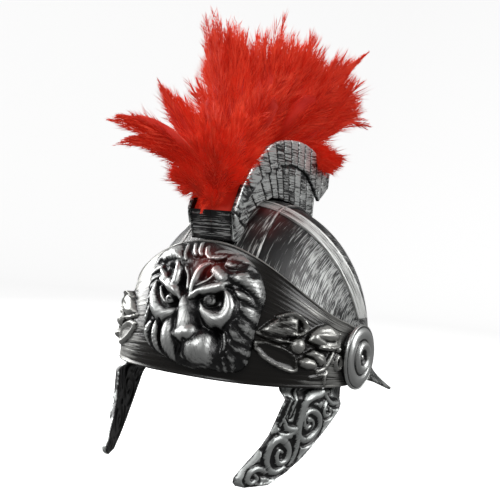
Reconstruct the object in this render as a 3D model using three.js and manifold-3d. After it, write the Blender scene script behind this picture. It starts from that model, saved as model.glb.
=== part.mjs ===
// Roman legionary parade helmet: a domed skull with a neck guard, a tall brow band with a lion mask
// and flowers, two rosettes that carry hinged cheek guards, and a plank-sided crest holder with a
// fluffy red plume.
// Millimetres. +Z is up, the face looks along -Y and the wearer's left is +X. The origin is the
// middle of the head opening, at the level of the brow band's lower edge.

import * as THREE from 'three';
import { mergeVertices } from 'three/addons/utils/BufferGeometryUtils.js';
import Module from 'manifold-3d';

// Skull: an ellipsoid, its wall, and the flare that turns out into the neck guard.
const DOME_A = 94;
const DOME_B = 110;
const DOME_C = 116.5;
const DOME_Z = 20.9;
const SKULL_WALL = 2.5;
const FLARE_TOP = 28;
const FLARE_OUT = 31;
const FLARE_DROP = 14;
const NECK_EXTRA_OUT = 20;
const NECK_EXTRA_DROP = 5;
const FLARE_START_DEG = 104;
const FLARE_FULL_DEG = 132;
const NECK_REAR_DEG = 135;
const DOME_SHARE = 0.62;
const SKULL_COLUMNS = 36;
const SKULL_ROWS = 11;

// Raised straps over the dome, front to back and side to side.
const STRAP_RAISE = 1.7;
const STRAP_ROOT = 1.0;
const LONG_STRAP_HALF = 27;
const LONG_STRAP_FRONT_HALF = 34.5;
const LONG_STRAP_FROM_DEG = 33;
const LONG_STRAP_EVEN_DEG = 85;
const LONG_STRAP_TO_DEG = 176;
const CROSS_STRAP_TOP_Y = -34;
const CROSS_STRAP_SWEEP = 42;
const CROSS_STRAP_TOP_HALF = 7.5;
const CROSS_STRAP_END_HALF = 12;
const CROSS_STRAP_END_DEG = 77;
const CROSS_STRAP_FULL_DEG = 82;

// Brow band: a superellipse in plan that narrows upwards.
const BAND_A = 96.3;
const BAND_B = 117;
const BAND_POWER = 2.5;
const BAND_NARROW_Z = 159;
const BAND_WALL = 2.2;
const BAND_TOP = 98;
const BAND_TOP_DROP = 55.7;
const BAND_SIDE_TOP = 41;
const BAND_SIDE_DROP = 1.6;
const BAND_END_RADIUS = 20;
const SEAT_GAP = 0.4;

// Rosettes and the hinge pins behind them. The hinge axis leans forward a little.
const PIVOT_Y = -20.7;
const PIVOT_Z = 20.4;
const RIM_X = 100;
const HINGE_LEAN_DEG = 6.5;
const PIN_R = 5;
const PIN_HOLE_R = 5.4;
const PIN_HEAD_R = 9;

// Cheek guards.
const EAR_X = 86;
const EAR_R = 17;
const GUARD_WALL = 2.6;
const GUARD_LENGTH = 132;
const GUARD_X = 96.35;
const GUARD_INWARD = 40.7;
const GUARD_POWER = 1.2;
const GUARD_TWIST = 0.3;
const GUARD_ANGLE_DEG = 49;
const GUARD_NECK_FRONT = -34.5;
const GUARD_NECK_Z = 12;
const GUARD_UNDER_Z = -4.5;
const GUARD_TUCK_Z = 2;
const GUARD_TUCK_FRONT = -87;
const GUARD_TUCK_REAR = -55;
const RELIEF_SIDES = 4;

// Crest holder.
const CREST_WALL_X = 18;
const CREST_STRIP_X = 20.5;
const CREST_PLATE = 2.2;
const CREST_SEAM = 0.15;
const CREST_FLOOR_DEPTH = 16;
const PLANK_PITCH = 15;
const PLANK_GROOVE = 0.9;
const PLANK_GROOVE_DEPTH = 0.8;
const PLANK_FIRST_Y = -84;
const PLANK_LAST_Y = 84;
const PLANK_REACH = 75;
const PLANK_LEAN_DEG = 6;
const PLANK_LEAN_GAIN_DEG = 43;
const PLANK_UPRIGHT_Y = 45;
const STEP_PITCH = 13.5;
const STEP_FALL = 2.8;
const CREST_REAR_Y = 61;
const CREST_FRONT_PLATE = 2.4;
const STRIP_OVERLAP = 7;

// Plume: the bed in the crest's channel and the mass that the locks grow out of.
const BED_HALF = 12.5;
const CORE_X = 33;
const CORE_Y = 82;
const CORE_Z = 50;
const CORE_AT = { x: 2, y: -6, z: 216 };
const CORE_LEAN_DEG = 8;
const LOCK_ROOT_DEPTH = 8;
const LOCK_FLATNESS = 0.95;
const FAR = 130;

const SILVER = { color: 0x8f9290, roughness: 0.34, metalness: 0.75 };
const DARK_SILVER = { color: 0x5d5f5e, roughness: 0.38, metalness: 0.7 };
const FEATHER_RED = { color: 0xc81e12, roughness: 0.95, metalness: 0.0 };

const wasm = await Module();
wasm.setup();

const vec = (x, y, z) => new THREE.Vector3(x, y, z);

const radians = (degrees) => degrees * Math.PI / 180;

function ramp(from, to, value) {
  const t = Math.min(1, Math.max(0, (value - from) / (to - from)));
  return t * t * (3 - 2 * t);
}

function mix(a, b, t) {
  return a + (b - a) * t;
}

// Height of a polyline at y.
function along(line, y) {
  let k = 0;
  while (k < line.length - 2 && y > line[k + 1].y) k += 1;
  const a = line[k];
  const b = line[k + 1];
  const t = Math.min(1, Math.max(0, (y - a.y) / (b.y - a.y)));
  return mix(a.z, b.z, t);
}

// A closed geometry as a solid that can be cut and joined. Triangles that shrink to a line at a
// pole are dropped.
function solid(geometry) {
  const bare = geometry.clone();
  bare.deleteAttribute('normal');
  bare.deleteAttribute('uv');
  const merged = mergeVertices(bare, 1e-4);
  const index = merged.index.array;
  const kept = [];
  for (let k = 0; k < index.length; k += 3) {
    const [a, b, c] = [index[k], index[k + 1], index[k + 2]];
    if (a !== b && b !== c && c !== a) kept.push(a, b, c);
  }
  return new wasm.Manifold(new wasm.Mesh({
    numProp: 3,
    vertProperties: new Float32Array(merged.attributes.position.array),
    triVerts: new Uint32Array(kept),
  }));
}

function geometryOf(body) {
  const mesh = body.getMesh();
  const geometry = new THREE.BufferGeometry();
  geometry.setAttribute('position',
    new THREE.BufferAttribute(new Float32Array(mesh.vertProperties), 3));
  geometry.setIndex(new THREE.BufferAttribute(new Uint32Array(mesh.triVerts), 1));
  geometry.computeVertexNormals();
  return geometry;
}

function joined(bodies) {
  return bodies.reduce((whole, body) => whole.add(body));
}

// The largest skin of a body. Tiny pockets between crossing facets are filled.
function largest(body) {
  return body.decompose().reduce((a, b) => (b.volume() > a.volume() ? b : a));
}

// A wall between two grids of points. The grids share their edges' layout; `round` closes them
// along the first direction, and a row of equal points makes a pole.
function wall(nu, nv, outer, inner, round = false) {
  const columns = round ? nu : nu + 1;
  const positions = [];
  for (const face of [outer, inner]) {
    for (let i = 0; i < columns; i += 1) {
      for (let j = 0; j <= nv; j += 1) positions.push(...face(i / nu, j / nv).toArray());
    }
  }
  const at = (side, i, j) => side * columns * (nv + 1) + (i % columns) * (nv + 1) + j;
  const index = [];
  const quad = (a, b, c, d) => index.push(a, b, c, a, c, d);
  for (let i = 0; i < nu; i += 1) {
    for (let j = 0; j < nv; j += 1) {
      quad(at(0, i, j), at(0, i + 1, j), at(0, i + 1, j + 1), at(0, i, j + 1));
      quad(at(1, i, j), at(1, i, j + 1), at(1, i + 1, j + 1), at(1, i + 1, j));
    }
    quad(at(0, i, 0), at(1, i, 0), at(1, i + 1, 0), at(0, i + 1, 0));
    quad(at(0, i, nv), at(0, i + 1, nv), at(1, i + 1, nv), at(1, i, nv));
  }
  for (let j = 0; j < nv && !round; j += 1) {
    quad(at(0, 0, j), at(0, 0, j + 1), at(1, 0, j + 1), at(1, 0, j));
    quad(at(0, nu, j), at(1, nu, j), at(1, nu, j + 1), at(0, nu, j + 1));
  }
  const geometry = new THREE.BufferGeometry();
  geometry.setAttribute('position', new THREE.Float32BufferAttribute(positions, 3));
  geometry.setIndex(index);
  const body = solid(geometry);
  return body.volume() < 0 ? solid(flipped(geometry)) : body;
}

function flipped(geometry) {
  const turned = geometry.clone();
  const index = turned.index.array;
  for (let k = 0; k < index.length; k += 3) {
    [index[k + 1], index[k + 2]] = [index[k + 2], index[k + 1]];
  }
  return turned;
}

// A side plate: an outline of {y, z} points, pushed out from x = from to x = to.
function plate(outline, from, to) {
  const shape = new THREE.Shape(outline.map((p) => new THREE.Vector2(p.y, p.z)));
  const geometry = new THREE.ExtrudeGeometry(shape, { depth: to - from, bevelEnabled: false });
  geometry.applyMatrix4(new THREE.Matrix4().makeBasis(vec(0, 1, 0), vec(0, 0, 1), vec(1, 0, 0)));
  geometry.translate(from, 0, 0);
  return solid(geometry);
}

// A tapering lock or stem through a curve, with a flattened round section.
function stem(curve, radii, flatness, sides) {
  const rows = radii.length - 1;
  const positions = [];
  for (let j = 0; j <= rows; j += 1) {
    const t = j / rows;
    const centre = curve.getPoint(t);
    const run = curve.getTangent(t);
    const side = vec(run.z, 0, -run.x).lengthSq() > 0.01 ? vec(run.z, 0, -run.x) : vec(1, 0, 0);
    side.normalize();
    const lift = vec(0, 0, 0).crossVectors(run, side).normalize();
    for (let i = 0; i < sides; i += 1) {
      const turn = 2 * Math.PI * i / sides;
      const point = centre.clone()
        .addScaledVector(side, radii[j] * flatness * Math.cos(turn))
        .addScaledVector(lift, radii[j] * Math.sin(turn));
      positions.push(...point.toArray());
    }
  }
  positions.push(...curve.getPoint(0).toArray());
  positions.push(...curve.getPoint(1).toArray());
  const index = [];
  const first = (rows + 1) * sides;
  for (let i = 0; i < sides; i += 1) {
    const next = (i + 1) % sides;
    for (let j = 0; j < rows; j += 1) {
      const [a, b] = [j * sides + i, j * sides + next];
      index.push(a, b, b + sides, a, b + sides, a + sides);
    }
    index.push(first, next, i);
    index.push(first + 1, rows * sides + i, rows * sides + next);
  }
  const geometry = new THREE.BufferGeometry();
  geometry.setAttribute('position', new THREE.Float32BufferAttribute(positions, 3));
  geometry.setIndex(index);
  const body = solid(geometry);
  return body.volume() < 0 ? solid(flipped(geometry)) : body;
}

// Skull shell.
// Plan direction `turn` is 0 at the front, 90 degrees on the wearer's left, 180 at the back.

function domeRadius(turn) {
  return 1 / Math.hypot(Math.sin(turn) / DOME_A, Math.cos(turn) / DOME_B);
}

function domeShrink(z) {
  return Math.sqrt(Math.max(0, 1 - ((z - DOME_Z) / DOME_C) ** 2));
}

function skullPoint(u, v) {
  const turn = 2 * Math.PI * u;
  const radius = domeRadius(turn);
  if (v <= DOME_SHARE) {
    const polar = Math.acos((FLARE_TOP - DOME_Z) / DOME_C) * v / DOME_SHARE;
    const r = radius * Math.sin(polar);
    return vec(r * Math.sin(turn), -r * Math.cos(turn), DOME_Z + DOME_C * Math.cos(polar));
  }
  const q = (v - DOME_SHARE) / (1 - DOME_SHARE);
  const away = Math.abs(u - 0.5) < 0.5 ? 180 - 360 * Math.abs(u - 0.5) : 0;
  const weight = ramp(FLARE_START_DEG, FLARE_FULL_DEG, away);
  const rear = ramp(NECK_REAR_DEG, 180, away);
  const drop = FLARE_TOP + FLARE_DROP * weight + NECK_EXTRA_DROP * rear;
  const z = FLARE_TOP - drop * q ** 0.9;
  const r = radius * domeShrink(Math.max(0, z));
  const out = weight * (FLARE_OUT + NECK_EXTRA_OUT * rear) * q * q;
  const [x, y] = [r * Math.sin(turn), -r * Math.cos(turn)];
  const normal = vec(x / DOME_A ** 2, y / DOME_B ** 2, 0).normalize();
  return vec(x, y, z).addScaledVector(normal, out);
}

// Moves a point of a surface along its normal, measured by small steps on the surface.
function offsetPoint(surface, u, v, distance) {
  const step = 1e-3;
  const [u0, u1] = [u - step, u + step];
  const [v0, v1] = [Math.max(0, v - step), Math.min(1, v + step)];
  const wrap = (value) => (value + 1) % 1;
  const du = surface(wrap(u1), Math.max(v, 0.02)).sub(surface(wrap(u0), Math.max(v, 0.02)));
  const dv = surface(wrap(u), v1).sub(surface(wrap(u), v0));
  const normal = v < 0.01 ? vec(0, 0, 1) : vec(0, 0, 0).crossVectors(dv, du).normalize();
  const point = surface(wrap(u), v);
  const outward = vec(point.x, point.y, point.z - DOME_Z + 40);
  if (normal.dot(outward) < 0) normal.negate();
  return point.addScaledVector(normal, distance);
}

// A point of the dome, raised along its normal.
function onDome(x, y, z, raise) {
  const normal = vec(x / DOME_A ** 2, y / DOME_B ** 2, (z - DOME_Z) / DOME_C ** 2).normalize();
  return vec(x, y, z).addScaledVector(normal, raise);
}

function longStrapPoint(u, v, raise) {
  const degrees = mix(LONG_STRAP_FROM_DEG, LONG_STRAP_TO_DEG, u);
  const angle = radians(degrees);
  const narrowing = ramp(LONG_STRAP_FROM_DEG, LONG_STRAP_EVEN_DEG, degrees);
  const half = mix(LONG_STRAP_FRONT_HALF, LONG_STRAP_HALF, narrowing);
  const x = half * (2 * v - 1);
  const shrink = Math.sqrt(1 - (x / DOME_A) ** 2);
  const y = -DOME_B * shrink * Math.cos(angle);
  const z = DOME_Z + DOME_C * shrink * Math.sin(angle);
  return onDome(x, y, z, raise);
}

function crossStrapPoint(u, v, raise) {
  const tilt = CROSS_STRAP_END_DEG * (2 * u - 1);
  const share = Math.abs(tilt) / CROSS_STRAP_FULL_DEG;
  const middle = CROSS_STRAP_TOP_Y + CROSS_STRAP_SWEEP * share ** 1.6;
  const half = mix(CROSS_STRAP_TOP_HALF, CROSS_STRAP_END_HALF, share * share);
  const y = middle + half * (2 * v - 1);
  const shrink = Math.sqrt(1 - (y / DOME_B) ** 2);
  const x = DOME_A * shrink * Math.sin(radians(tilt));
  const z = DOME_Z + DOME_C * shrink * Math.cos(radians(tilt));
  return onDome(x, y, z, raise);
}

// The hole for a hinge pin, on the hinge's leaning axis.
function pinHole(side) {
  const inward = 10;
  const geometry = new THREE.CylinderGeometry(PIN_HOLE_R, PIN_HOLE_R, 4 * inward, 18);
  geometry.rotateZ(Math.PI / 2 - radians(HINGE_LEAN_DEG));
  geometry.translate(RIM_X - inward, PIVOT_Y + inward * Math.tan(radians(HINGE_LEAN_DEG)), PIVOT_Z);
  if (side < 0) {
    geometry.applyMatrix4(new THREE.Matrix4().makeScale(-1, 1, 1));
    return solid(flipped(mergeVertices(geometry)));
  }
  return solid(geometry);
}

function skullShell() {
  const shell = wall(SKULL_COLUMNS, SKULL_ROWS, skullPoint,
    (u, v) => offsetPoint(skullPoint, u, v, -SKULL_WALL), true);
  const long = wall(12, 3, (u, v) => longStrapPoint(u, v, STRAP_RAISE),
    (u, v) => longStrapPoint(u, v, -STRAP_ROOT));
  const cross = wall(12, 2, (u, v) => crossStrapPoint(u, v, STRAP_RAISE),
    (u, v) => crossStrapPoint(u, v, -STRAP_ROOT));
  return joined([shell, long, cross])
    .subtract(pinHole(1))
    .subtract(pinHole(-1));
}

// Brow band.

function bandShrink(z) {
  return Math.sqrt(1 - (z / BAND_NARROW_Z) ** 2);
}

// Distance of the band's outer face from the Z axis. Near the rosettes it lies on the skull.
function bandRadius(turn, z) {
  const a = BAND_A * bandShrink(z);
  const b = BAND_B * bandShrink(z);
  const power = (Math.abs(Math.sin(turn)) / a) ** BAND_POWER
    + (Math.abs(Math.cos(turn)) / b) ** BAND_POWER;
  const onSkull = domeRadius(turn) * domeShrink(z) + SEAT_GAP + BAND_WALL;
  return Math.max(power ** (-1 / BAND_POWER), onSkull);
}

function bandAt(turn, z, raise) {
  const r = bandRadius(turn, z) + raise;
  return vec(r * Math.sin(turn), -r * Math.cos(turn), z);
}

// The band ends on a circle about the hinge, under the rosette.
function bandEndTurn(z) {
  const rise = Math.min(BAND_END_RADIUS - 1, Math.abs(z - PIVOT_Z));
  const endY = PIVOT_Y + Math.sqrt(BAND_END_RADIUS ** 2 - rise ** 2);
  let [low, high] = [radians(60), radians(100)];
  for (let k = 0; k < 30; k += 1) {
    const turn = (low + high) / 2;
    if (-bandRadius(turn, z) * Math.cos(turn) < endY) low = turn;
    else high = turn;
  }
  return low;
}

function bandPoint(u, v, raise) {
  const side = 2 * u - 1;
  let top = 60;
  for (let k = 0; k < 12; k += 1) {
    const x = bandAt(side * bandEndTurn(top), top, 0).x;
    const curve = BAND_TOP - BAND_TOP_DROP * (x / DOME_A) ** 2;
    top = mix(top, Math.max(BAND_SIDE_TOP, curve), 0.7);
  }
  const x0 = bandAt(side * bandEndTurn(0), 0, 0).x;
  const low = -BAND_SIDE_DROP * (x0 / BAND_A) ** 4;
  const z = mix(low, top, v);
  return bandAt(side * bandEndTurn(z), z, raise);
}

// Raised leaves and beads: place on the band in plan degrees and height, half-length along the
// band, half-height, how far it stands out, and its turn in the band's face.
const FLOWER_PARTS = [
  { turn: 35, z: 47, long: 20, high: 9, out: 4.5, lean: 2 },
  { turn: 34, z: 20, long: 20, high: 8.5, out: 4.5, lean: -20 },
  { turn: 41, z: 30.5, long: 5.5, high: 5, out: 5, lean: 0 },
  { turn: 54.5, z: 40, long: 14, high: 7, out: 4.5, lean: -6 },
  { turn: 51, z: 19, long: 14, high: 7, out: 4.5, lean: -16 },
  { turn: 58, z: 29.5, long: 4, high: 4, out: 3.5, lean: 0 },
  { turn: 59.6, z: 20, long: 4.5, high: 6, out: 3, lean: 25 },
];

function flowerPart(row, side) {
  const turn = side * radians(row.turn);
  const centre = bandAt(turn, row.z, 0);
  const run = bandAt(turn + side * 0.02, row.z, 0).sub(centre).normalize();
  const rise = bandAt(turn, row.z + 1, 0).sub(centre).normalize();
  const out = vec(0, 0, 0).crossVectors(run, rise).normalize();
  if (out.x * centre.x + out.y * centre.y < 0) out.negate();
  const lean = radians(row.lean);
  const long = run.clone().multiplyScalar(Math.cos(lean)).addScaledVector(rise, Math.sin(lean));
  const high = vec(0, 0, 0).crossVectors(out, long);
  const geometry = new THREE.SphereGeometry(1, 8, 4);
  geometry.applyMatrix4(new THREE.Matrix4().makeBasis(
    long.multiplyScalar(row.long), high.multiplyScalar(row.high), out.multiplyScalar(row.out)));
  geometry.translate(centre.x, centre.y, centre.z);
  const body = solid(geometry);
  return body.volume() < 0 ? solid(flipped(mergeVertices(geometry))) : body;
}

function browBand() {
  const strip = wall(36, 3, (u, v) => bandPoint(u, v, 0),
    (u, v) => bandPoint(u, v, -BAND_WALL));
  const inside = wall(18, 3, (u, v) => bandPoint(u, v, -BAND_WALL * 0.5),
    (u, v) => bandPoint(u, v, -BAND_WALL - 12));
  const parts = [];
  for (const row of FLOWER_PARTS) {
    parts.push(flowerPart(row, 1), flowerPart(row, -1));
  }
  return strip.add(joined(parts).subtract(inside).subtract(maskRoom()))
    .subtract(pinHole(1))
    .subtract(pinHole(-1));
}

// Lion mask.

// The middle of the face. The mask sits a little to the wearer's left of the band's middle.
const LION_X = 4.5;
const LION_Z = 50;
const LION_TOP = 95.8;
const LION_LOW = 2.5;

// The mane's outline as a distance from the middle of the face: 0 degrees is the wearer's left, 90
// the top and 270 the chin.
const MANE_OUTLINE = [
  { degrees: 0, reach: 46 },
  { degrees: 20, reach: 48.5 },
  { degrees: 45, reach: 47 },
  { degrees: 75, reach: 43.5 },
  { degrees: 105, reach: 49 },
  { degrees: 145, reach: 55 },
  { degrees: 180, reach: 45.5 },
  { degrees: 215, reach: 47.3 },
  { degrees: 255, reach: 42.5 },
  { degrees: 285, reach: 44.5 },
  { degrees: 315, reach: 57 },
  { degrees: 345, reach: 46 },
  { degrees: 360, reach: 46 },
];

function maneRadius(angle) {
  const degrees = ((angle * 180 / Math.PI) % 360 + 360) % 360;
  let k = 0;
  while (degrees > MANE_OUTLINE[k + 1].degrees) k += 1;
  const [a, b] = [MANE_OUTLINE[k], MANE_OUTLINE[k + 1]];
  return mix(a.reach, b.reach, ramp(a.degrees, b.degrees, degrees));
}

// Bumps and hollows of the face, mirrored about its middle.
const FACE_FORMS = [
  { x: 0, z: 52, wide: 6, tall: 18, out: 7 },
  { x: 0, z: 28, wide: 9, tall: 7, out: 8 },
  { x: 9, z: 17, wide: 9, tall: 9, out: 7 },
  { x: 0, z: 9, wide: 9, tall: 5, out: 3 },
  { x: 14, z: 66, wide: 11, tall: 7, out: 5 },
  { x: 13, z: 54, wide: 7, tall: 5.5, out: -4 },
  { x: 22, z: 42, wide: 9, tall: 9, out: 6 },
  { x: 10, z: 76, wide: 6, tall: 10, out: 3 },
];

function lionHeight(x, z, share) {
  const aside = x - LION_X;
  const angle = Math.atan2(z - LION_Z, aside);
  let height = 3 + 6 * Math.sqrt(Math.max(0, 1 - share ** 2.4));
  height += 1.3 * Math.cos(13 * angle) * ramp(0.6, 0.9, share);
  for (const form of FACE_FORMS) {
    const across = (Math.abs(aside) - form.x) / form.wide;
    const up = (z - form.z) / form.tall;
    height += form.out * Math.exp(-across * across - up * up);
  }
  return height;
}

function lionPlace(u, v) {
  const angle = 2 * Math.PI * u;
  const r = maneRadius(angle) * v;
  const x = LION_X + r * Math.cos(angle);
  const z = Math.min(LION_TOP, Math.max(LION_LOW, LION_Z + r * Math.sin(angle)));
  return { x, z };
}

// The band's outer face straight in front of x and z.
function bandFront(x, z, raise) {
  const a = BAND_A * bandShrink(z);
  const b = BAND_B * bandShrink(z);
  const y = -b * (1 - (Math.abs(x) / a) ** BAND_POWER) ** (1 / BAND_POWER);
  const normal = vec(
    Math.sign(x) * (Math.abs(x) / a) ** (BAND_POWER - 1) / a,
    -((Math.abs(y) / b) ** (BAND_POWER - 1)) / b,
    z / BAND_NARROW_Z ** 2).normalize();
  return vec(x, y, z).addScaledVector(normal, raise);
}

function lionFace(u, v) {
  const { x, z } = lionPlace(u, v);
  const seat = bandFront(x, z, SEAT_GAP);
  const normal = bandFront(x, z, SEAT_GAP + 1).sub(seat);
  const out = normal.multiplyScalar(0.4).add(vec(0, -0.6, 0)).normalize();
  const point = seat.addScaledVector(out, lionHeight(x, z, v));
  point.z = Math.min(point.z, LION_TOP + 1.2);
  return point;
}

function lionBack(u, v) {
  const { x, z } = lionPlace(u, v);
  return bandFront(x, z, SEAT_GAP);
}

function lionMask() {
  return wall(36, 8, lionFace, lionBack, true);
}

// The room that the mask takes in front of the band, kept clear of the flowers.
function maskRoom() {
  const place = (u, v) => lionPlace(u, v * 1.015);
  return wall(36, 2, (u, v) => bandFront(place(u, v).x, place(u, v).z, 30),
    (u, v) => bandFront(place(u, v).x, place(u, v).z, -0.6), true);
}

// Rosettes.
// Radius and height over the rim, from the middle bead out to the rim, back to the pin and its
// inner head.
const ROSETTE_PROFILE = [
  { r: 0, h: 6.2 },
  { r: 2.2, h: 5.4 },
  { r: 3.4, h: 3.6 },
  { r: 6.2, h: 3.4 },
  { r: 8.6, h: 5.4 },
  { r: 11.4, h: 5.0 },
  { r: 13.4, h: 2.4 },
  { r: 16.2, h: 3.2 },
  { r: 19.4, h: 2.4 },
  { r: 21, h: 0.6 },
  { r: 25, h: 0.4 },
  { r: 25, h: -1.2 },
  { r: 22.5, h: -1.2 },
  { r: 22.5, h: -3.8 },
  { r: PIN_R, h: -3.8 },
  { r: PIN_R, h: -17.1 },
  { r: PIN_HEAD_R, h: -17.1 },
  { r: PIN_HEAD_R, h: -19.3 },
  { r: 0, h: -19.3 },
];

function rosette(side) {
  const points = ROSETTE_PROFILE.map((p) => new THREE.Vector2(p.r, p.h)).reverse();
  const geometry = new THREE.LatheGeometry(points, 18);
  geometry.rotateZ(-Math.PI / 2 - radians(HINGE_LEAN_DEG));
  geometry.translate(RIM_X, PIVOT_Y, PIVOT_Z);
  if (side < 0) geometry.applyMatrix4(new THREE.Matrix4().makeScale(-1, 1, 1));
  const body = solid(mergeVertices(geometry));
  return body.volume() < 0 ? solid(flipped(mergeVertices(geometry))) : body;
}

// Cheek guards.
// Places on a guard are given from the hinge: `down` along the blade to its tip, `back` across it
// towards its rear edge.

const DOWN_Y = -Math.sin(radians(GUARD_ANGLE_DEG));
const DOWN_Z = -Math.cos(radians(GUARD_ANGLE_DEG));

function guardYZ(down, back) {
  return {
    y: PIVOT_Y + down * DOWN_Y - back * DOWN_Z,
    z: PIVOT_Z + down * DOWN_Z + back * DOWN_Y,
  };
}

// The blade's outline. Its top runs under the band's lower edge; its ear is the disc on the pin.
const BLADE_OUTLINE = [
  { down: 60.5, back: -27.5 },
  { down: 66, back: -26 },
  { down: 75, back: -21.5 },
  { down: 84, back: -16 },
  { down: 94, back: -10.3 },
  { down: 104, back: -7.8 },
  { down: 113, back: -7 },
  { down: 123, back: -6.3 },
  { down: 130.5, back: -5.2 },
  { down: 133, back: -3 },
  { down: 133, back: 0.5 },
  { down: 129.5, back: 6 },
  { down: 117, back: 17.6 },
  { down: 100, back: 23 },
  { down: 83, back: 25.5 },
  { down: 64, back: 26.2 },
  { down: 46, back: 25.6 },
  { down: 28, back: 24.2 },
  { down: 12, back: 22.5 },
  { down: 0, back: 17 },
];

function blendToBlade(y, z) {
  return Math.max(ramp(-3, -22, z), ramp(-46, -60, y));
}

function guardX(y, z) {
  const down = Math.max(0, (y - PIVOT_Y) * DOWN_Y + (z - PIVOT_Z) * DOWN_Z);
  const back = -(y - PIVOT_Y) * DOWN_Z + (z - PIVOT_Z) * DOWN_Y;
  const share = down / GUARD_LENGTH;
  const blade = GUARD_X - GUARD_INWARD * share ** GUARD_POWER + GUARD_TWIST * back * share;
  const tuck = (3.6 + 5 * ramp(-66, -88, y)) * ramp(-10, -2, z) * ramp(-46, -60, y);
  const ear = EAR_X + Math.tan(radians(HINGE_LEAN_DEG)) * (y - PIVOT_Y);
  return mix(ear, blade - tuck, blendToBlade(y, z));
}

function onGuard(down, back, raise) {
  const { y, z } = guardYZ(down, back);
  return vec(guardX(y, z) + raise, y, z);
}

function cordOn(places, radius, steps) {
  const path = new THREE.CatmullRomCurve3(places.map((p) => onGuard(p.down, p.back, 0.2)));
  const radii = Array.from({ length: steps + 1 },
    (_, k) => radius * (k === 0 || k === steps ? 0.45 : 1));
  return stem(path, radii, 0.9, RELIEF_SIDES);
}

// Scrolls on the blade: where each one's middle is, its outer radius, where it starts and how far
// it winds in, in degrees, and half its cord's thickness.
const GUARD_SPIRALS = [
  { down: 60, back: 8, outer: 12.5, start: 200, sweep: -520, thick: 1.7 },
  { down: 95, back: 7.5, outer: 11, start: 160, sweep: -460, thick: 1.6 },
];
const SPIRAL_INNER = 2.6;

function spiral(row) {
  const steps = 12;
  return Array.from({ length: steps + 1 }, (_, k) => {
    const r = mix(row.outer, SPIRAL_INNER, k / steps);
    const angle = radians(row.start + row.sweep * k / steps);
    return { down: row.down + r * Math.cos(angle), back: row.back + r * Math.sin(angle) };
  });
}

const GUARD_BORDER = [
  { down: 66, back: -22 },
  { down: 77, back: -16.8 },
  { down: 94, back: -7 },
  { down: 113, back: -3.8 },
  { down: 128.5, back: -2.5 },
  { down: 127, back: 2.5 },
  { down: 115, back: 13.8 },
  { down: 98, back: 19.6 },
  { down: 83, back: 21.8 },
  { down: 64, back: 22.4 },
  { down: 46, back: 22 },
  { down: 33, back: 20.8 },
];

const GUARD_LEAF = [
  { down: 74, back: -3 },
  { down: 83, back: -10 },
  { down: 89, back: -4 },
];

function cheekGuard() {
  const reach = 48;
  const face = (u, v, raise) => onGuard(mix(-24, 140, u), mix(-reach, reach, v), raise);
  const sheet = wall(11, 7, (u, v) => face(u, v, 0), (u, v) => face(u, v, -GUARD_WALL));
  const outline = BLADE_OUTLINE.map((p) => guardYZ(p.down, p.back));
  const top = [
    { y: GUARD_NECK_FRONT, z: GUARD_NECK_Z },
    { y: GUARD_NECK_FRONT, z: GUARD_UNDER_Z },
    { y: GUARD_TUCK_REAR + 2.5, z: GUARD_UNDER_Z },
    { y: GUARD_TUCK_REAR, z: GUARD_TUCK_Z },
    { y: GUARD_TUCK_FRONT, z: GUARD_TUCK_Z },
  ];
  const blade = plate([...top, ...outline.slice(1)], 0, FAR);
  const earSides = 20;
  const ear = plate(Array.from({ length: earSides }, (_, k) => ({
    y: PIVOT_Y + EAR_R * Math.cos(2 * Math.PI * k / earSides),
    z: PIVOT_Z + EAR_R * Math.sin(2 * Math.PI * k / earSides),
  })), 0, FAR);
  const relief = [
    cordOn(GUARD_BORDER, 1.7, 16),
    ...GUARD_SPIRALS.map((row) => cordOn(spiral(row), row.thick, 13)),
    cordOn(GUARD_LEAF, 1.6, 4),
  ];
  return joined([sheet.intersect(blade.add(ear)), ...relief]).subtract(pinHole(1));
}

// Crest holder: its profile, seen from the side.
const CREST_FRONT = [
  { y: -91, z: 98.9 },
  { y: -98, z: 120.4 },
];

const CREST_TOP = [
  { y: -98, z: 120.4 },
  { y: -90, z: 138 },
  { y: -76, z: 156.2 },
  { y: -62, z: 168.6 },
  { y: -47, z: 178 },
  { y: -28, z: 184.6 },
  { y: -11, z: 188 },
  { y: 6, z: 190 },
  { y: 23, z: 190.3 },
  { y: 40, z: 188.6 },
  { y: 57, z: 184.8 },
  { y: 73, z: 178.9 },
  { y: 87.8, z: 172.9 },
];

const CREST_TAIL = { y: 87.5, z: 159.9 };

// Lower border of the raised strip, front to back.
const STRIP_BORDER = [
  { y: -96, z: 104 },
  { y: -86, z: 118 },
  { y: -75, z: 132 },
  { y: -66.8, z: 142.3 },
  { y: -56.5, z: 151.6 },
  { y: -41.8, z: 157.7 },
  { y: -26, z: 164.3 },
  { y: -7.8, z: 168.4 },
  { y: 8, z: 168.8 },
  { y: 25, z: 167.3 },
  { y: 36, z: 164 },
  { y: 48.3, z: 158.2 },
  { y: 67, z: 145.4 },
];

// The arch over the dome, back to front.
const CREST_ARCH = [
  { y: 8.4, z: 120 },
  { y: 8.4, z: 136 },
  { y: -9.5, z: 139.2 },
  { y: -30, z: 138 },
  { y: -51.5, z: 130.8 },
  { y: -67.5, z: 119.8 },
  { y: -74.4, z: 104.7 },
  { y: -77, z: 98.9 },
];

// How far a plank's joint leans forward at y.
function plankLean(y) {
  const forward = (PLANK_UPRIGHT_Y - y) / 120;
  return radians(PLANK_LEAN_DEG + PLANK_LEAN_GAIN_DEG * forward ** 2);
}

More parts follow.
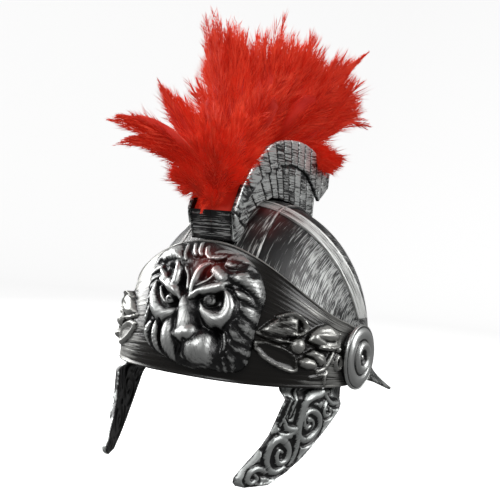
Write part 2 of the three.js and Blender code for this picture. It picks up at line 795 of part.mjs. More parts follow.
function plankCut(y, x0, x1) {
  const lean = plankLean(y);
  const middle = { y, z: along(CREST_TOP, y) };
  const half = PLANK_GROOVE / 2;
  const run = { y: Math.sin(lean), z: -Math.cos(lean) };
  const corner = (s, t) => ({
    y: middle.y + run.y * t + s * half * Math.cos(lean),
    z: middle.z + run.z * t + s * half * Math.sin(lean),
  });
  const ends = [corner(-1, PLANK_REACH), corner(1, PLANK_REACH), corner(1, -10), corner(-1, -10)];
  return plate(ends, x0, x1);
}

// The strip's border steps down a little at each plank of the front half.
function steppedBorder() {
  const [first, last] = [-93, -12];
  const fall = STEP_FALL / 2;
  const points = [];
  for (let y = first; y < last; y += STEP_PITCH) {
    points.push({ y: y + 0.2, z: along(STRIP_BORDER, y) + fall });
    points.push({ y: y + STEP_PITCH - 0.2, z: along(STRIP_BORDER, y + STEP_PITCH) - fall });
  }
  return points.concat(STRIP_BORDER.filter((p) => p.y > -9));
}

function crestHalf() {
  const wallTop = CREST_TOP.filter((p) => p.y < CREST_REAR_Y - 3)
    .map((p) => ({ y: p.y, z: Math.min(p.z, along(STRIP_BORDER, p.y) + STRIP_OVERLAP) }));
  wallTop[0] = CREST_FRONT[1];
  let lower = plate([CREST_FRONT[0], ...wallTop, { y: CREST_REAR_Y, z: 155 },
    { y: CREST_REAR_Y, z: 105 }, ...CREST_ARCH], CREST_WALL_X - CREST_PLATE, CREST_WALL_X);
  let strip = plate([...CREST_TOP, CREST_TAIL, ...steppedBorder().reverse()],
    CREST_WALL_X - PLANK_GROOVE_DEPTH, CREST_STRIP_X);
  for (let y = PLANK_FIRST_Y; y < PLANK_LAST_Y; y += PLANK_PITCH) {
    lower = lower.subtract(plankCut(y, CREST_WALL_X - PLANK_GROOVE_DEPTH, CREST_WALL_X + 1));
    strip = strip.subtract(plankCut(y, CREST_STRIP_X - PLANK_GROOVE_DEPTH, CREST_STRIP_X + 1));
  }
  const inner = CREST_TOP.slice(1, -1);
  const floorLine = [{ y: -94.5, z: 112 },
    ...inner.map((p) => ({ y: p.y, z: p.z - CREST_FLOOR_DEPTH })),
    { y: 85.5, z: 157.6 }];
  const under = floorLine.map((p) => ({ y: p.y, z: p.z - CREST_PLATE })).reverse();
  const floor = plate([...floorLine, ...under], CREST_SEAM, CREST_WALL_X - 0.5);
  const behind = CREST_FRONT.map((p) => ({ y: p.y + CREST_FRONT_PLATE, z: p.z })).reverse();
  const front = plate([...CREST_FRONT, ...behind], CREST_SEAM, CREST_WALL_X - 0.5);
  const rear = plate([{ y: 85, z: 155.9 }, { y: 87.4, z: 159.8 }, { y: 87.6, z: 171 },
    { y: 85, z: 171 }], CREST_SEAM, CREST_WALL_X);
  const dome = new THREE.SphereGeometry(1, 48, 32);
  const clear = STRAP_RAISE + SEAT_GAP + 0.3;
  dome.scale(DOME_A + clear, DOME_B + clear, DOME_C + clear);
  dome.translate(0, 0, DOME_Z);
  return joined([lower, strip, floor, front, rear]).subtract(solid(dome));
}

// Plume.
// Locks of feathers: root along the crest, tip in space, how thick at the middle, and how far the
// middle bulges up.
const LOCKS = [
  { root: -88, x: -45, y: -175, z: 168, thick: 12, bulge: 26 },
  { root: -91, x: -38, y: -166, z: 157, thick: 10, bulge: 20 },
  { root: -86, x: -45, y: -123, z: 207, thick: 12, bulge: 8 },
  { root: -82, x: -34, y: -108, z: 202, thick: 17, bulge: 2 },
  { root: -93, x: -20, y: -120, z: 142, thick: 12, bulge: 12 },
  { root: -90, x: 8, y: -122, z: 170, thick: 18, bulge: 6 },
  { root: -74, x: -36, y: -63, z: 273, thick: 15, bulge: 0 },
  { root: -66, x: -22, y: -45, z: 271, thick: 21, bulge: 0 },
  { root: -50, x: -14, y: -29, z: 266, thick: 22, bulge: 0 },
  { root: -36, x: -2, y: -20, z: 277, thick: 22, bulge: 0 },
  { root: -20, x: 8, y: -8, z: 283, thick: 22, bulge: 0 },
  { root: 0, x: 20, y: 16, z: 273, thick: 22, bulge: 2 },
  { root: 16, x: 30, y: 46, z: 268, thick: 22, bulge: 6 },
  { root: 30, x: 50, y: 95, z: 290, thick: 9, bulge: 6 },
  { root: 34, x: 44, y: 56, z: 254, thick: 21, bulge: 4 },
  { root: 44, x: 46, y: 83, z: 235, thick: 19, bulge: 8 },
  { root: 52, x: 50, y: 94, z: 218, thick: 14, bulge: 16 },
  { root: 62, x: 38, y: 64, z: 193, thick: 16, bulge: 10 },
  { root: 74, x: 30, y: 78, z: 174, thick: 13, bulge: 20 },
  { root: 72, x: -8, y: 108, z: 205, thick: 19, bulge: 12 },
  { root: 50, x: -34, y: 96, z: 240, thick: 20, bulge: 10 },
  { root: 20, x: -46, y: 52, z: 256, thick: 22, bulge: 6 },
  { root: -15, x: -48, y: 8, z: 258, thick: 22, bulge: 4 },
  { root: -50, x: -50, y: -34, z: 244, thick: 20, bulge: 4 },
  { root: -60, x: 34, y: -70, z: 220, thick: 19, bulge: 8 },
  { root: -10, x: 44, y: -8, z: 232, thick: 20, bulge: 10 },
];

// A lock's half-thickness from root to tip, as a share of its `thick`.
const LOCK_PROFILE = [
  { share: 0.45 },
  { share: 0.95 },
  { share: 1 },
  { share: 0.85 },
  { share: 0.1 },
];
const LOCK_SIDES = 4;

function plume() {
  const bedSide = CREST_WALL_X - CREST_PLATE - SEAT_GAP;
  const line = CREST_TOP.slice(1, -1).map((p) => ({ y: p.y, z: p.z }));
  const lift = (p, d) => ({ y: p.y, z: p.z - d });
  const ridge = line.map((p) => lift(p, 2));
  const base = line.map((p) => lift(p, CREST_FLOOR_DEPTH - 0.5)).reverse();
  const bodies = [plate([...ridge, ...base], -BED_HALF, BED_HALF)];
  const core = new THREE.SphereGeometry(1, 10, 7);
  core.scale(CORE_X, CORE_Y, CORE_Z);
  core.rotateX(radians(CORE_LEAN_DEG));
  core.translate(CORE_AT.x, CORE_AT.y, CORE_AT.z);
  bodies.push(solid(core));
  for (const lock of LOCKS) {
    const root = vec(0, lock.root, along(CREST_TOP, lock.root) - LOCK_ROOT_DEPTH);
    const tip = vec(lock.x, lock.y, lock.z);
    const middle = root.clone().lerp(tip, 0.55).add(vec(lock.x * 0.12, 0, lock.bulge));
    const curve = new THREE.QuadraticBezierCurve3(root, middle, tip);
    const r = lock.thick;
    const radii = LOCK_PROFILE.map((row) => r * row.share);
    bodies.push(stem(curve, radii, LOCK_FLATNESS, LOCK_SIDES));
  }
  const clearance = plate(CREST_TOP.map((p) => lift(p, CREST_FLOOR_DEPTH - 0.5))
    .concat([{ y: 88, z: 60 }, { y: -99, z: 60 }]), -FAR, FAR);
  let whole = joined(bodies).subtract(clearance);
  for (const side of [1, -1]) {
    const rail = plate([...CREST_TOP.map((p) => lift(p, -SEAT_GAP)), { y: 88.2, z: 120 },
      { y: -98.4, z: 90 }], side > 0 ? bedSide : -FAR, side > 0 ? FAR : -bedSide);
    whole = whole.subtract(rail);
  }
  const front = plate([{ y: -FAR, z: 60 }, { y: -95.1, z: 60 }, { y: -95.1, z: 120.9 },
    { y: -FAR, z: 120.9 }], -FAR, FAR);
  const rear = plate([{ y: 84.6, z: 60 }, { y: FAR, z: 60 }, { y: FAR, z: 158 },
    { y: 88.6, z: 160 }, { y: 88.6, z: 173 }, { y: 84.6, z: 173 }], -FAR, FAR);
  return whole.subtract(front).subtract(rear);
}

const helmet = new THREE.Group();

function addPiece(name, body, look, mirror = false) {
  const geometry = geometryOf(largest(body));
  const mesh = new THREE.Mesh(geometry, new THREE.MeshStandardMaterial(look));
  mesh.name = name;
  if (mirror) mesh.scale.x = -1;
  helmet.add(mesh);
}

addPiece('skull_shell', skullShell(), SILVER);
addPiece('brow_band', browBand(), DARK_SILVER);
addPiece('lion_mask', lionMask(), SILVER);
addPiece('rosette_left', rosette(1), SILVER);
addPiece('rosette_right', rosette(-1), SILVER);
addPiece('cheek_guard_left', cheekGuard(), SILVER);
addPiece('cheek_guard_right', cheekGuard(), SILVER, true);
addPiece('crest_half_left', crestHalf(), SILVER);
addPiece('crest_half_right', crestHalf(), SILVER, true);
addPiece('plume', plume(), FEATHER_RED);

export default helmet;
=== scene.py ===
"""Looks of the roman legionary helmet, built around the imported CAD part.
Sizes in the tables are millimetres in the part's frame; meshes are made in metres."""

import math

import bpy
import numpy as np
from mathutils import Matrix, Vector
from mathutils.geometry import delaunay_2d_cdt


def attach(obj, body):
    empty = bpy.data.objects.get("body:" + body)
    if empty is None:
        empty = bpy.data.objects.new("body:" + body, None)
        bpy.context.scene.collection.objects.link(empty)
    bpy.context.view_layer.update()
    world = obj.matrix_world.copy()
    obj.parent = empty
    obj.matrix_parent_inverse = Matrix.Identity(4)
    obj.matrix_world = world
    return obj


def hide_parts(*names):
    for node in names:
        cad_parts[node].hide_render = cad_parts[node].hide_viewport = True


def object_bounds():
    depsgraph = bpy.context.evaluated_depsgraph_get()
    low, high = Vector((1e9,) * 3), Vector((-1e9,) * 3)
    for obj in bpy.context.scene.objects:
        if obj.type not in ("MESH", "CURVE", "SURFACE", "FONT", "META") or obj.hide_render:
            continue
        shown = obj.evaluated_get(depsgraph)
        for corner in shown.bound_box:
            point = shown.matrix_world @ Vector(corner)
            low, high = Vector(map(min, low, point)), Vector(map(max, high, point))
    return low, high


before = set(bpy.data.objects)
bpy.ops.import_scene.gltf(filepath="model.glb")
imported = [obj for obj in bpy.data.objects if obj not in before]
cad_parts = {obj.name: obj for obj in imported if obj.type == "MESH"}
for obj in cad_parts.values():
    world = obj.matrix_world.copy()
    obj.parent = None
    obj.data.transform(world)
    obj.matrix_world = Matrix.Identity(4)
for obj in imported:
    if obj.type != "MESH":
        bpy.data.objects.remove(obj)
cad_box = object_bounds()
MM = 0.001

# Skull: the dome's half-axes in x, y and z, the height of its middle and its wall.
DOME_A, DOME_B, DOME_C, DOME_Z = 94.0, 110.0, 116.5, 20.9
SKULL_WALL = 2.5
# Below this height the rear turns out into the neck guard, most of all at the very back.
FLARE_TOP, FLARE_OUT, FLARE_DROP = 28.0, 31.0, 14.0
NECK_EXTRA_OUT, NECK_EXTRA_DROP = 20.0, 5.0
# Degrees round from the front over which the flare and the nape's extra grow.
FLARE_TURN, NAPE_TURN = (104, 132), (135, 180)
# Share of the way down the skull where the dome ends and the wall or the flare begins.
DOME_SHARE = 0.62
# Brow band: half-axes and power of its outline, the height where it would close, and its wall.
BAND_A, BAND_B, BAND_POWER, BAND_NARROW_Z, BAND_WALL = 96.3, 117.0, 2.5, 159.0, 2.2
# Its upper edge falls from the brow to the ends.
BAND_TOP, BAND_TOP_FALL, BAND_END_TOP = 98, 55.7, 41
SEAT_GAP = 0.4
# The rosettes' pins, on which the guards hang: their place, their rims and their lean forward.
PIVOT_Y, PIVOT_Z, RIM_X, LEAN = -20.7, 20.4, 100.0, math.radians(6.5)
# Radius of the band's round ends, under the rosettes.
ROSETTE_SEAT = 20.0
# Cheek guards: the way down along a blade, in the side view.
GUARD_ANGLE = math.radians(49)
DOWN_Y, DOWN_Z = -math.sin(GUARD_ANGLE), -math.cos(GUARD_ANGLE)
GUARD_WALL, GUARD_LONG, EAR_R = 2.6, 132, 17
# How far out the top of a blade and its ear lie, and how far its tip leans in from there.
GUARD_TOP_X, EAR_X, GUARD_LEAN_IN = 96.35, 86, 40.7
# Farther than anything here.
FAR = 1e9


def ramp(low, high, x):
    t = np.clip((np.asarray(x, float) - low) / (high - low), 0, 1)
    return t * t * (3 - 2 * t)


def mix(a, b, t):
    return a + (b - a) * t


def unit(v):
    return v / np.maximum(np.linalg.norm(v, axis=-1, keepdims=True), 1e-9)


def ridge(x, middle, reach):
    """A smooth rise to 1 at the middle of one measure."""
    return np.exp(-((x - middle) / reach) ** 2)


def hill(a, b, middle_a, middle_b, reach_a, reach_b):
    """A smooth rise to 1 at a place."""
    return np.exp(-((a - middle_a) / reach_a) ** 2 - ((b - middle_b) / reach_b) ** 2)


# Meshes: every piece is one or more chunks of points and faces, joined.

def grid_faces(rows, columns, wrap=False):
    i = np.arange(rows if wrap else rows - 1)
    j = np.arange(columns - 1)
    i, j = np.meshgrid(i, j, indexing="ij")
    n = (i + 1) % rows
    a, b = i * columns + j, n * columns + j
    return np.stack([a, b, b + 1, a + 1], -1).reshape(-1, 4)


def zipped(a, b):
    """Triangles between two rows of points that may differ in number."""
    faces, j = [], 0
    for i in range(len(a) - 1):
        faces.append((a[i], a[i + 1], b[j]))
        while j < len(b) - 1 and (j + 1) * (len(a) - 1) <= (i + 1) * (len(b) - 1):
            faces.append((a[i + 1], b[j + 1], b[j]))
            j += 1
    return np.array(faces)


def chunk(points, faces, wear_and_light=0.5, grain=None, look=0, flip=False, red_reflection=0.0):
    """Points with their faces, how much silver each point takes (wear, with some painted light and
    shade in it) and how much painted reflection of the red plume (tint), its place in the grain
    of the brush strokes, and the index of the look."""
    points = np.asarray(points, float).reshape(-1, 3)
    faces = np.asarray(faces, int)
    if flip:
        faces = faces[:, ::-1]
    wear_and_light, red_reflection = (np.broadcast_to(np.asarray(tone, float).reshape(-1), (len(points),))
                  for tone in (wear_and_light, red_reflection))
    grain = points if grain is None else np.asarray(grain, float).reshape(-1, 3)
    return dict(points=points, faces=faces, wear_and_light=wear_and_light, grain=grain, look=look, red_reflection=red_reflection)


def mirrored(piece):
    points = piece["points"] * np.array([-1, 1, 1])
    return dict(piece, points=points, faces=piece["faces"][:, ::-1])


def welded(chunks):
    """All chunks as one set of points and faces: points that coincide become one, faces that
    lose a corner become triangles, and points that no face uses are dropped."""
    points, wear_and_light, red_reflection, grain = (np.concatenate([c[key] for c in chunks])
                                 for key in ("points", "wear_and_light", "red_reflection", "grain"))
    points = points * MM
    # Places to the micrometre, 20 bits for each of x, y and z.
    cell = np.round(points * 1e6).astype(np.int64) + 2 ** 19
    key = (cell[:, 0] << 40) + (cell[:, 1] << 20) + cell[:, 2]
    _, first, place = np.unique(key, return_index=True, return_inverse=True)
    groups, offset = [], 0
    for c in chunks:
        faces = place[c["faces"] + offset]
        offset += len(c["points"])
        keep = faces != np.roll(faces, -1, 1)
        corners, width = keep.sum(1), faces.shape[1]
        groups.append((faces[corners == width], c["look"]))
        if width == 4:
            met = corners == 3
            groups.append((faces[met][keep[met]].reshape(-1, 3), c["look"]))
    groups = [g for g in groups if len(g[0])]
    loops = np.concatenate([g[0].reshape(-1) for g in groups])
    totals = np.concatenate([np.full(len(g[0]), g[0].shape[1]) for g in groups])
    marks = np.concatenate([np.full(len(g[0]), g[1]) for g in groups])
    used, loops = np.unique(loops, return_inverse=True)
    chosen = first[used]
    return points[chosen], (wear_and_light[chosen], red_reflection[chosen]), grain[chosen], loops, totals, marks


def linked(name, data):
    made = bpy.data.objects.new(name, data)
    bpy.context.scene.collection.objects.link(made)
    return made


def build(name, chunks, looks, body, nodes, sharp=38):
    """Makes a piece of the picture; edges over sharp degrees stay crisp."""
    points, tones, grain, loops, totals, marks = welded(chunks)
    mesh = bpy.data.meshes.new(name)
    mesh.vertices.add(len(points))
    mesh.vertices.foreach_set("co", points.astype(np.float32).ravel())
    mesh.loops.add(len(loops))
    mesh.loops.foreach_set("vertex_index", loops.astype(np.int32))
    mesh.polygons.add(len(totals))
    starts = np.concatenate([[0], np.cumsum(totals)[:-1]])
    mesh.polygons.foreach_set("loop_start", starts.astype(np.int32))
    mesh.polygons.foreach_set("material_index", marks.astype(np.int32))
    mesh.update(calc_edges=True)
    mesh.validate()
    for title, values in zip(("wear_and_light", "red_reflection"), tones):
        mesh.attributes.new(title, "FLOAT", "POINT").data.foreach_set(
            "value", values.astype(np.float32))
    mesh.attributes.new("grain", "FLOAT_VECTOR", "POINT").data.foreach_set(
        "vector", grain.astype(np.float32).ravel())
    for look in looks:
        mesh.materials.append(look)
    mesh.shade_smooth()
    if sharp:
        mesh.set_sharp_from_angle(angle=math.radians(sharp))
    piece = linked(name, mesh)
    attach(piece, body)
    if nodes:
        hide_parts(*nodes)


def normals_of(points, wrap=False):
    """Normals of a grid of points, by differences along its rows and columns."""
    if wrap:
        du = np.roll(points, -1, 0) - np.roll(points, 1, 0)
    else:
        du = np.gradient(points, axis=0)
    dv = np.gradient(points, axis=1)
    return unit(np.cross(du, dv))


def soften(field, sigma):
    """A Gaussian blur of a grid; sigma is in cells."""
    pad = int(3 * sigma) + 1
    wide = np.pad(field, pad, mode="edge")
    fa = np.fft.fftfreq(wide.shape[0])[:, None]
    fb = np.fft.rfftfreq(wide.shape[1])[None]
    low = np.exp(-2 * (np.pi * sigma) ** 2 * (fa ** 2 + fb ** 2))
    return np.fft.irfft2(np.fft.rfft2(wide) * low, s=wide.shape)[pad:-pad, pad:-pad]


def along_segment(a, b, start, end):
    """How far places lie along a segment, as a share of it, and how far off it."""
    (a0, b0), (a1, b1) = start, end
    length = (a1 - a0) ** 2 + (b1 - b0) ** 2
    t = np.clip(((a - a0) * (a1 - a0) + (b - b0) * (b1 - b0)) / max(length, 1e-9), 0, 1)
    return t, np.hypot(a - mix(a0, a1, t), b - mix(b0, b1, t))


def outline_distance(a, b, outline):
    """Distance of places to a closed outline."""
    best = np.full(np.shape(a), FAR)
    for start, end in zip(outline, np.roll(outline, -1, axis=0)):
        best = np.minimum(best, along_segment(a, b, start, end)[1])
    return best


def inside_outline(a, b, outline):
    """Whether places lie inside a closed outline."""
    odd = np.zeros(np.shape(a), bool)
    for (a0, b0), (a1, b1) in zip(outline, np.roll(outline, -1, axis=0)):
        if b0 != b1:
            odd ^= ((b0 > b) != (b1 > b)) & (a < (a1 - a0) * (b - b0) / (b1 - b0) + a0)
    return odd


def smooth_row(stations, steps=3):
    """More stations on a smooth curve through the given ones."""
    rows = np.array(stations, float)
    if len(rows) < 3:
        return rows
    ends = np.concatenate([2 * rows[:1] - rows[1:2], rows, 2 * rows[-1:] - rows[-2:-1]])
    t = (np.arange(steps) / steps)[:, None]
    made = [0.5 * (2 * b + (c - a) * t + (2 * a - 5 * b + 4 * c - d) * t ** 2
                   + (3 * b - a - 3 * c + d) * t ** 3)
            for a, b, c, d in zip(ends[:-3], ends[1:-2], ends[2:-1], ends[3:])]
    return np.concatenate(made + [rows[-1:]])


class Relief:
    """A height field over places (a, b) in millimetres, built up from simple raised forms."""

    def __init__(self, low, high, pitch, floor=0.0):
        self.low, self.pitch = np.array(low, float), pitch
        counts = [int((h - l) / pitch) + 2 for l, h in zip(low, high)]
        self.a, self.b = np.meshgrid(*[l + pitch * np.arange(n) for l, n in zip(low, counts)],
                                     indexing="ij")
        self.h = np.full(self.a.shape, float(floor))

    def window(self, points, reach):
        """The part of the grid that lies within reach of the points."""
        points = np.asarray(points, float)[:, :2]
        low = np.floor((points.min(0) - reach - self.low) / self.pitch).astype(int).clip(0)
        high = np.ceil((points.max(0) + reach - self.low) / self.pitch).astype(int).clip(0) + 1
        return slice(low[0], high[0]), slice(low[1], high[1])

    def strokes(self, table, skirt=1.4, power=0.75, widen=1.0, base=0.0):
        """Rows of (a, b, radius, height) stations, each a rounded ridge over base."""
        for stations in map(smooth_row, table):
            for start, end in zip(stations[:-1], stations[1:]):
                w = self.window([start, end], max(start[2], end[2]) * widen * skirt)
                t, off = along_segment(self.a[w], self.b[w], start[:2], end[:2])
                share = off / (mix(start[2], end[2], t) * widen * skirt)
                swell = np.clip(1 - share ** 2, 0, 1) ** power
                lift = base + (mix(start[3], end[3], t) - base) * swell
                self.h[w] = np.maximum(self.h[w], np.where(share < 1, lift, -FAR))

    def dents(self, table):
        """Rows of (a, b, radius a, radius b, depth)."""
        for a, b, reach_a, reach_b, depth in table:
            w = self.window([(a, b)], 3 * max(reach_a, reach_b))
            self.h[w] -= depth * hill(self.a[w], self.b[w], a, b, reach_a, reach_b)

    def grooves(self, table):
        """Rows of (a, b, radius, depth) stations cut below what is there."""
        cut = np.zeros_like(self.h)
        for stations in table:
            for start, end in zip(stations[:-1], stations[1:]):
                w = self.window([start, end], 3 * max(start[2], end[2]))
                t, off = along_segment(self.a[w], self.b[w], start[:2], end[:2])
                depth = mix(start[3], end[3], t) * ridge(off / mix(start[2], end[2], t), 0, 1)
                cut[w] = np.maximum(cut[w], depth)
        self.h -= cut

    def puff(self, outline, height, width, rim=0.0, scoop=0.0):
        """A form swollen inside an outline; rim and scoop turn it into a shallow dish."""
        outline = np.array(outline, float)
        w = self.window(outline, 1)
        a, b = self.a[w], self.b[w]
        depth = outline_distance(a, b, outline)
        rise = height * np.sqrt(np.clip(1 - (1 - np.clip(depth / width, 0, 1)) ** 2, 0, 1))
        rim_in, rim_wide, flat_in = 1.6, 1.1, 5.1
        rise = rise + rim * ridge(depth, rim_in, rim_wide) - scoop * ramp(rim_in, flat_in, depth)
        self.h[w] = np.maximum(self.h[w], np.where(inside_outline(a, b, outline), rise, -FAR))

    def at(self, field, a, b):
        """A field's values at places between the grid's."""
        fa = np.clip((np.asarray(a) - self.low[0]) / self.pitch, 0, field.shape[0] - 1.001)
        fb = np.clip((np.asarray(b) - self.low[1]) / self.pitch, 0, field.shape[1] - 1.001)
        ia, ib = fa.astype(int), fb.astype(int)
        ta, tb = fa - ia, fb - ib
        return mix(mix(field[ia, ib], field[ia + 1, ib], ta),
                   mix(field[ia, ib + 1], field[ia + 1, ib + 1], ta), tb)

    def proud(self, near, far, gain_near, gain_far):
        """How far each place stands out of its surroundings, at two widths in millimetres."""
        return (gain_near * (self.h - soften(self.h, near / self.pitch))
                + gain_far * (self.h - soften(self.h, far / self.pitch)))


# Materials.

def new_look(name):
    look = bpy.data.materials.new(name)
    look.use_nodes = True
    return look, look.node_tree, look.node_tree.nodes["Principled BSDF"]


def fill(tree, made, sockets):
    """Gives a node's sockets constants, or links them to the outputs of other nodes."""
    for key, value in sockets.items():
        if isinstance(value, bpy.types.NodeSocket):
            tree.links.new(value, made.inputs[key])
        else:
            made.inputs[key].default_value = value


def node(tree, kind, sockets, **settings):
    made = tree.nodes.new(kind)
    for key, value in settings.items():
        setattr(made, key, value)
    fill(tree, made, sockets)
    return made


def attribute(tree, name, output="Fac"):
    return node(tree, "ShaderNodeAttribute", {}, attribute_name=name).outputs[output]


def maths(tree, operation, a, b, clamp=False):
    return node(tree, "ShaderNodeMath", {0: a, 1: b}, operation=operation,
                use_clamp=clamp).outputs[0]


def centred(tree, value, gain):
    """A noise that runs about 0.5, turned into one that runs about 0."""
    return maths(tree, "MULTIPLY", maths(tree, "SUBTRACT", value, 0.5), gain)


def blend(tree, a, b, factor):
    return node(tree, "ShaderNodeMix", {"A": a, "B": b, "Factor": factor},
                data_type="RGBA").outputs["Result"]


# Red of the plume, painted on the silver near it as its reflection.
PLUME_RED_REFLECTION = (0.32, 0.022, 0.016, 1)


def brushed_plastic(name, silver, black=(0.005, 0.005, 0.0055), cover=0.5, hair=0.8, swath=0.8,
                    patch=0.5, fine=(0.035, 0.95, 0.95), broad=(0.012, 0.20, 0.20),
                    contrast=3.0, rough=0.30, metal=0.75):
    """Black plastic with silver paint dragged over it, in fine hairs and broad swaths. The grain
    attribute gives, in mm, the way along the strokes (x) and across them (y, z); wear says how
    much paint a place took, with some painted light and shade in it, and tint how much painted
    reflection of the red plume a place shows."""
    look, tree, shader = new_look(name)
    grain = attribute(tree, "grain", "Vector")

    def noise(scale, detail, distortion=0.0, roughness=0.6):
        place = node(tree, "ShaderNodeMapping", {"Vector": grain, "Scale": scale})
        return node(tree, "ShaderNodeTexNoise",
                    {"Vector": place.outputs[0], "Scale": 1.0, "Detail": detail,
                     "Roughness": roughness, "Distortion": distortion}).outputs["Fac"]

    def add(a, b, clamp=False):
        return maths(tree, "ADD", a, b, clamp)

    def times(a, b, clamp=False):
        return maths(tree, "MULTIPLY", a, b, clamp)

    hairs, swaths = noise(fine, 2.0, 0.0, 0.5), noise(broad, 4.0, 0.3)
    patches, specks = noise((0.03, 0.04, 0.04), 3.0, 0.4), noise((0.9, 0.9, 0.9), 2.0)
    mixed = attribute(tree, "wear_and_light")
    for value, gain in ((hairs, hair * 1.6), (swaths, swath * 1.5), (patches, patch * 1.4),
                        (specks, 0.25)):
        mixed = add(mixed, centred(tree, value, gain))
    mixed = times(maths(tree, "SUBTRACT", mixed, 1.0 - cover), contrast)
    paint = add(mixed, 0.5, clamp=True)
    # Painted reflection of the red plume, broken up in patches, laid over the paint.
    spotty = add(centred(tree, patches, 3.0), 1.0)
    reflected_red = times(attribute(tree, "red_reflection"), spotty, clamp=True)
    ridges = add(add(hairs, times(paint, 0.35)), times(specks, 0.25))
    bump = node(tree, "ShaderNodeBump", {"Strength": 0.5, "Distance": 0.0003, "Height": ridges})
    fill(tree, shader, {
        "Base Color": blend(tree, blend(tree, (*black, 1), (*silver, 1), paint), PLUME_RED_REFLECTION, reflected_red),
        "Metallic": times(paint, metal),
        "Roughness": add(add(times(hairs, 0.20), rough - 0.08), times(paint, 0.10)),
        "Normal": bump.outputs[0]})
    return look


def feather_look(name, light, deep):
    """Red that is lighter where wear is high; a little glow stands in for the light that comes
    through the barbs."""
    look, tree, shader = new_look(name)
    place = node(tree, "ShaderNodeTexCoord", {}).outputs["Object"]
    noise = node(tree, "ShaderNodeTexNoise", {"Vector": place, "Scale": 55.0, "Detail": 3.0,
                                              "Roughness": 0.6}).outputs["Fac"]
    tone = maths(tree, "ADD", attribute(tree, "wear_and_light"), centred(tree, noise, 0.8), clamp=True)
    fill(tree, shader, {
        "Base Color": blend(tree, deep, light, tone),
        "Roughness": maths(tree, "ADD", maths(tree, "MULTIPLY", noise, 0.2), 0.6),
        "Emission Color": (1.0, 0.045, 0.02, 1), "Emission Strength": 0.125,
        "Sheen Weight": 0.35, "Sheen Roughness": 0.4, "Sheen Tint": (1.0, 0.35, 0.25, 1),
        "Specular IOR Level": 0.25})
    return look


silver_dome = brushed_plastic("dome_silver", (0.46, 0.47, 0.46), hair=1.4, patch=0.7,
                              contrast=2.4, rough=0.36, fine=(0.05, 1.5, 1.5),
                              broad=(0.03, 0.32, 0.32), metal=0.6)
silver_strap = brushed_plastic("strap_silver", (0.78, 0.79, 0.77), hair=1.3, swath=0.7,
                               contrast=2.2, rough=0.38, fine=(0.06, 1.2, 1.2),
                               broad=(0.03, 0.3, 0.3), metal=0.45)
silver_bright = brushed_plastic("relief_silver", (0.56, 0.57, 0.56), hair=0.30, swath=0.25,
                                patch=0.35, contrast=2.8, rough=0.26, fine=(0.10, 0.9, 0.9),
                                broad=(0.03, 0.2, 0.2), metal=0.85)
silver_guard = brushed_plastic("guard_silver", (0.51, 0.53, 0.52), hair=0.75, swath=0.45,
                               patch=0.35, contrast=2.6, fine=(0.05, 0.8, 0.8))
silver_crest = brushed_plastic("crest_silver", (0.66, 0.68, 0.67), cover=0.56, hair=1.1,
                               fine=(0.07, 0.9, 0.9), broad=(0.04, 0.28, 0.28))
# The band's black is a little warm: a painted reflection of warm surroundings.
silver_band = brushed_plastic("band_silver", (0.42, 0.42, 0.40), black=(0.007, 0.006, 0.005),
                              hair=0.6, swath=0.6, patch=0.3, contrast=2.4, rough=0.26)
black_inside = brushed_plastic("inside_black", (0.10, 0.10, 0.10), cover=0.3, hair=0.4,
                               swath=0.3, patch=0.3, contrast=1.6, rough=0.40, metal=0.5)


# Skull shell with its straps.

def dome_radius(turn):
    return 1 / np.hypot(np.sin(turn) / DOME_A, np.cos(turn) / DOME_B)


def dome_shrink(z):
    return np.sqrt(np.clip(1 - ((z - DOME_Z) / DOME_C) ** 2, 0, None))


def skull_points(u, v):
    """The skull's outer face; u runs round it from the front, v from its top down."""
    turn = 2 * np.pi * u
    radius = dome_radius(turn)
    polar = math.acos((FLARE_TOP - DOME_Z) / DOME_C) * np.clip(v / DOME_SHARE, 0, 1)
    q = np.clip((v - DOME_SHARE) / (1 - DOME_SHARE), 0, 1)
    away = 180 - 360 * np.abs(u - 0.5)
    weight, rear = ramp(*FLARE_TURN, away), ramp(*NAPE_TURN, away)
    drop = FLARE_TOP + FLARE_DROP * weight + NECK_EXTRA_DROP * rear
    low = FLARE_TOP - drop * q ** 0.9
    lower = v > DOME_SHARE
    z = np.where(lower, low, DOME_Z + DOME_C * np.cos(polar))
    r = np.where(lower, radius * dome_shrink(np.maximum(0, low)), radius * np.sin(polar))
    x, y = r * np.sin(turn), -r * np.cos(turn)
    normal = unit(np.stack([np.sin(turn) / DOME_A, -np.cos(turn) / DOME_B], -1))
    out = weight * (FLARE_OUT + NECK_EXTRA_OUT * rear) * q * q
    return np.stack([x + normal[..., 0] * out, y + normal[..., 1] * out, z], -1)


def shell_of(outer, inner, bulge=0.9, steps=5):
    """Rows of points from the outer face round the lower rim and back over the inner face."""
    run = unit(outer[:, -1] - outer[:, -2])
    turns = np.linspace(0, np.pi, steps + 2)[1:-1]
    rim = [mix(outer[:, -1], inner[:, -1], (1 - math.cos(t)) / 2) + run * bulge * math.sin(t)
           for t in turns]
    return np.concatenate([outer, np.stack(rim, 1), inner[:, ::-1]], 1)


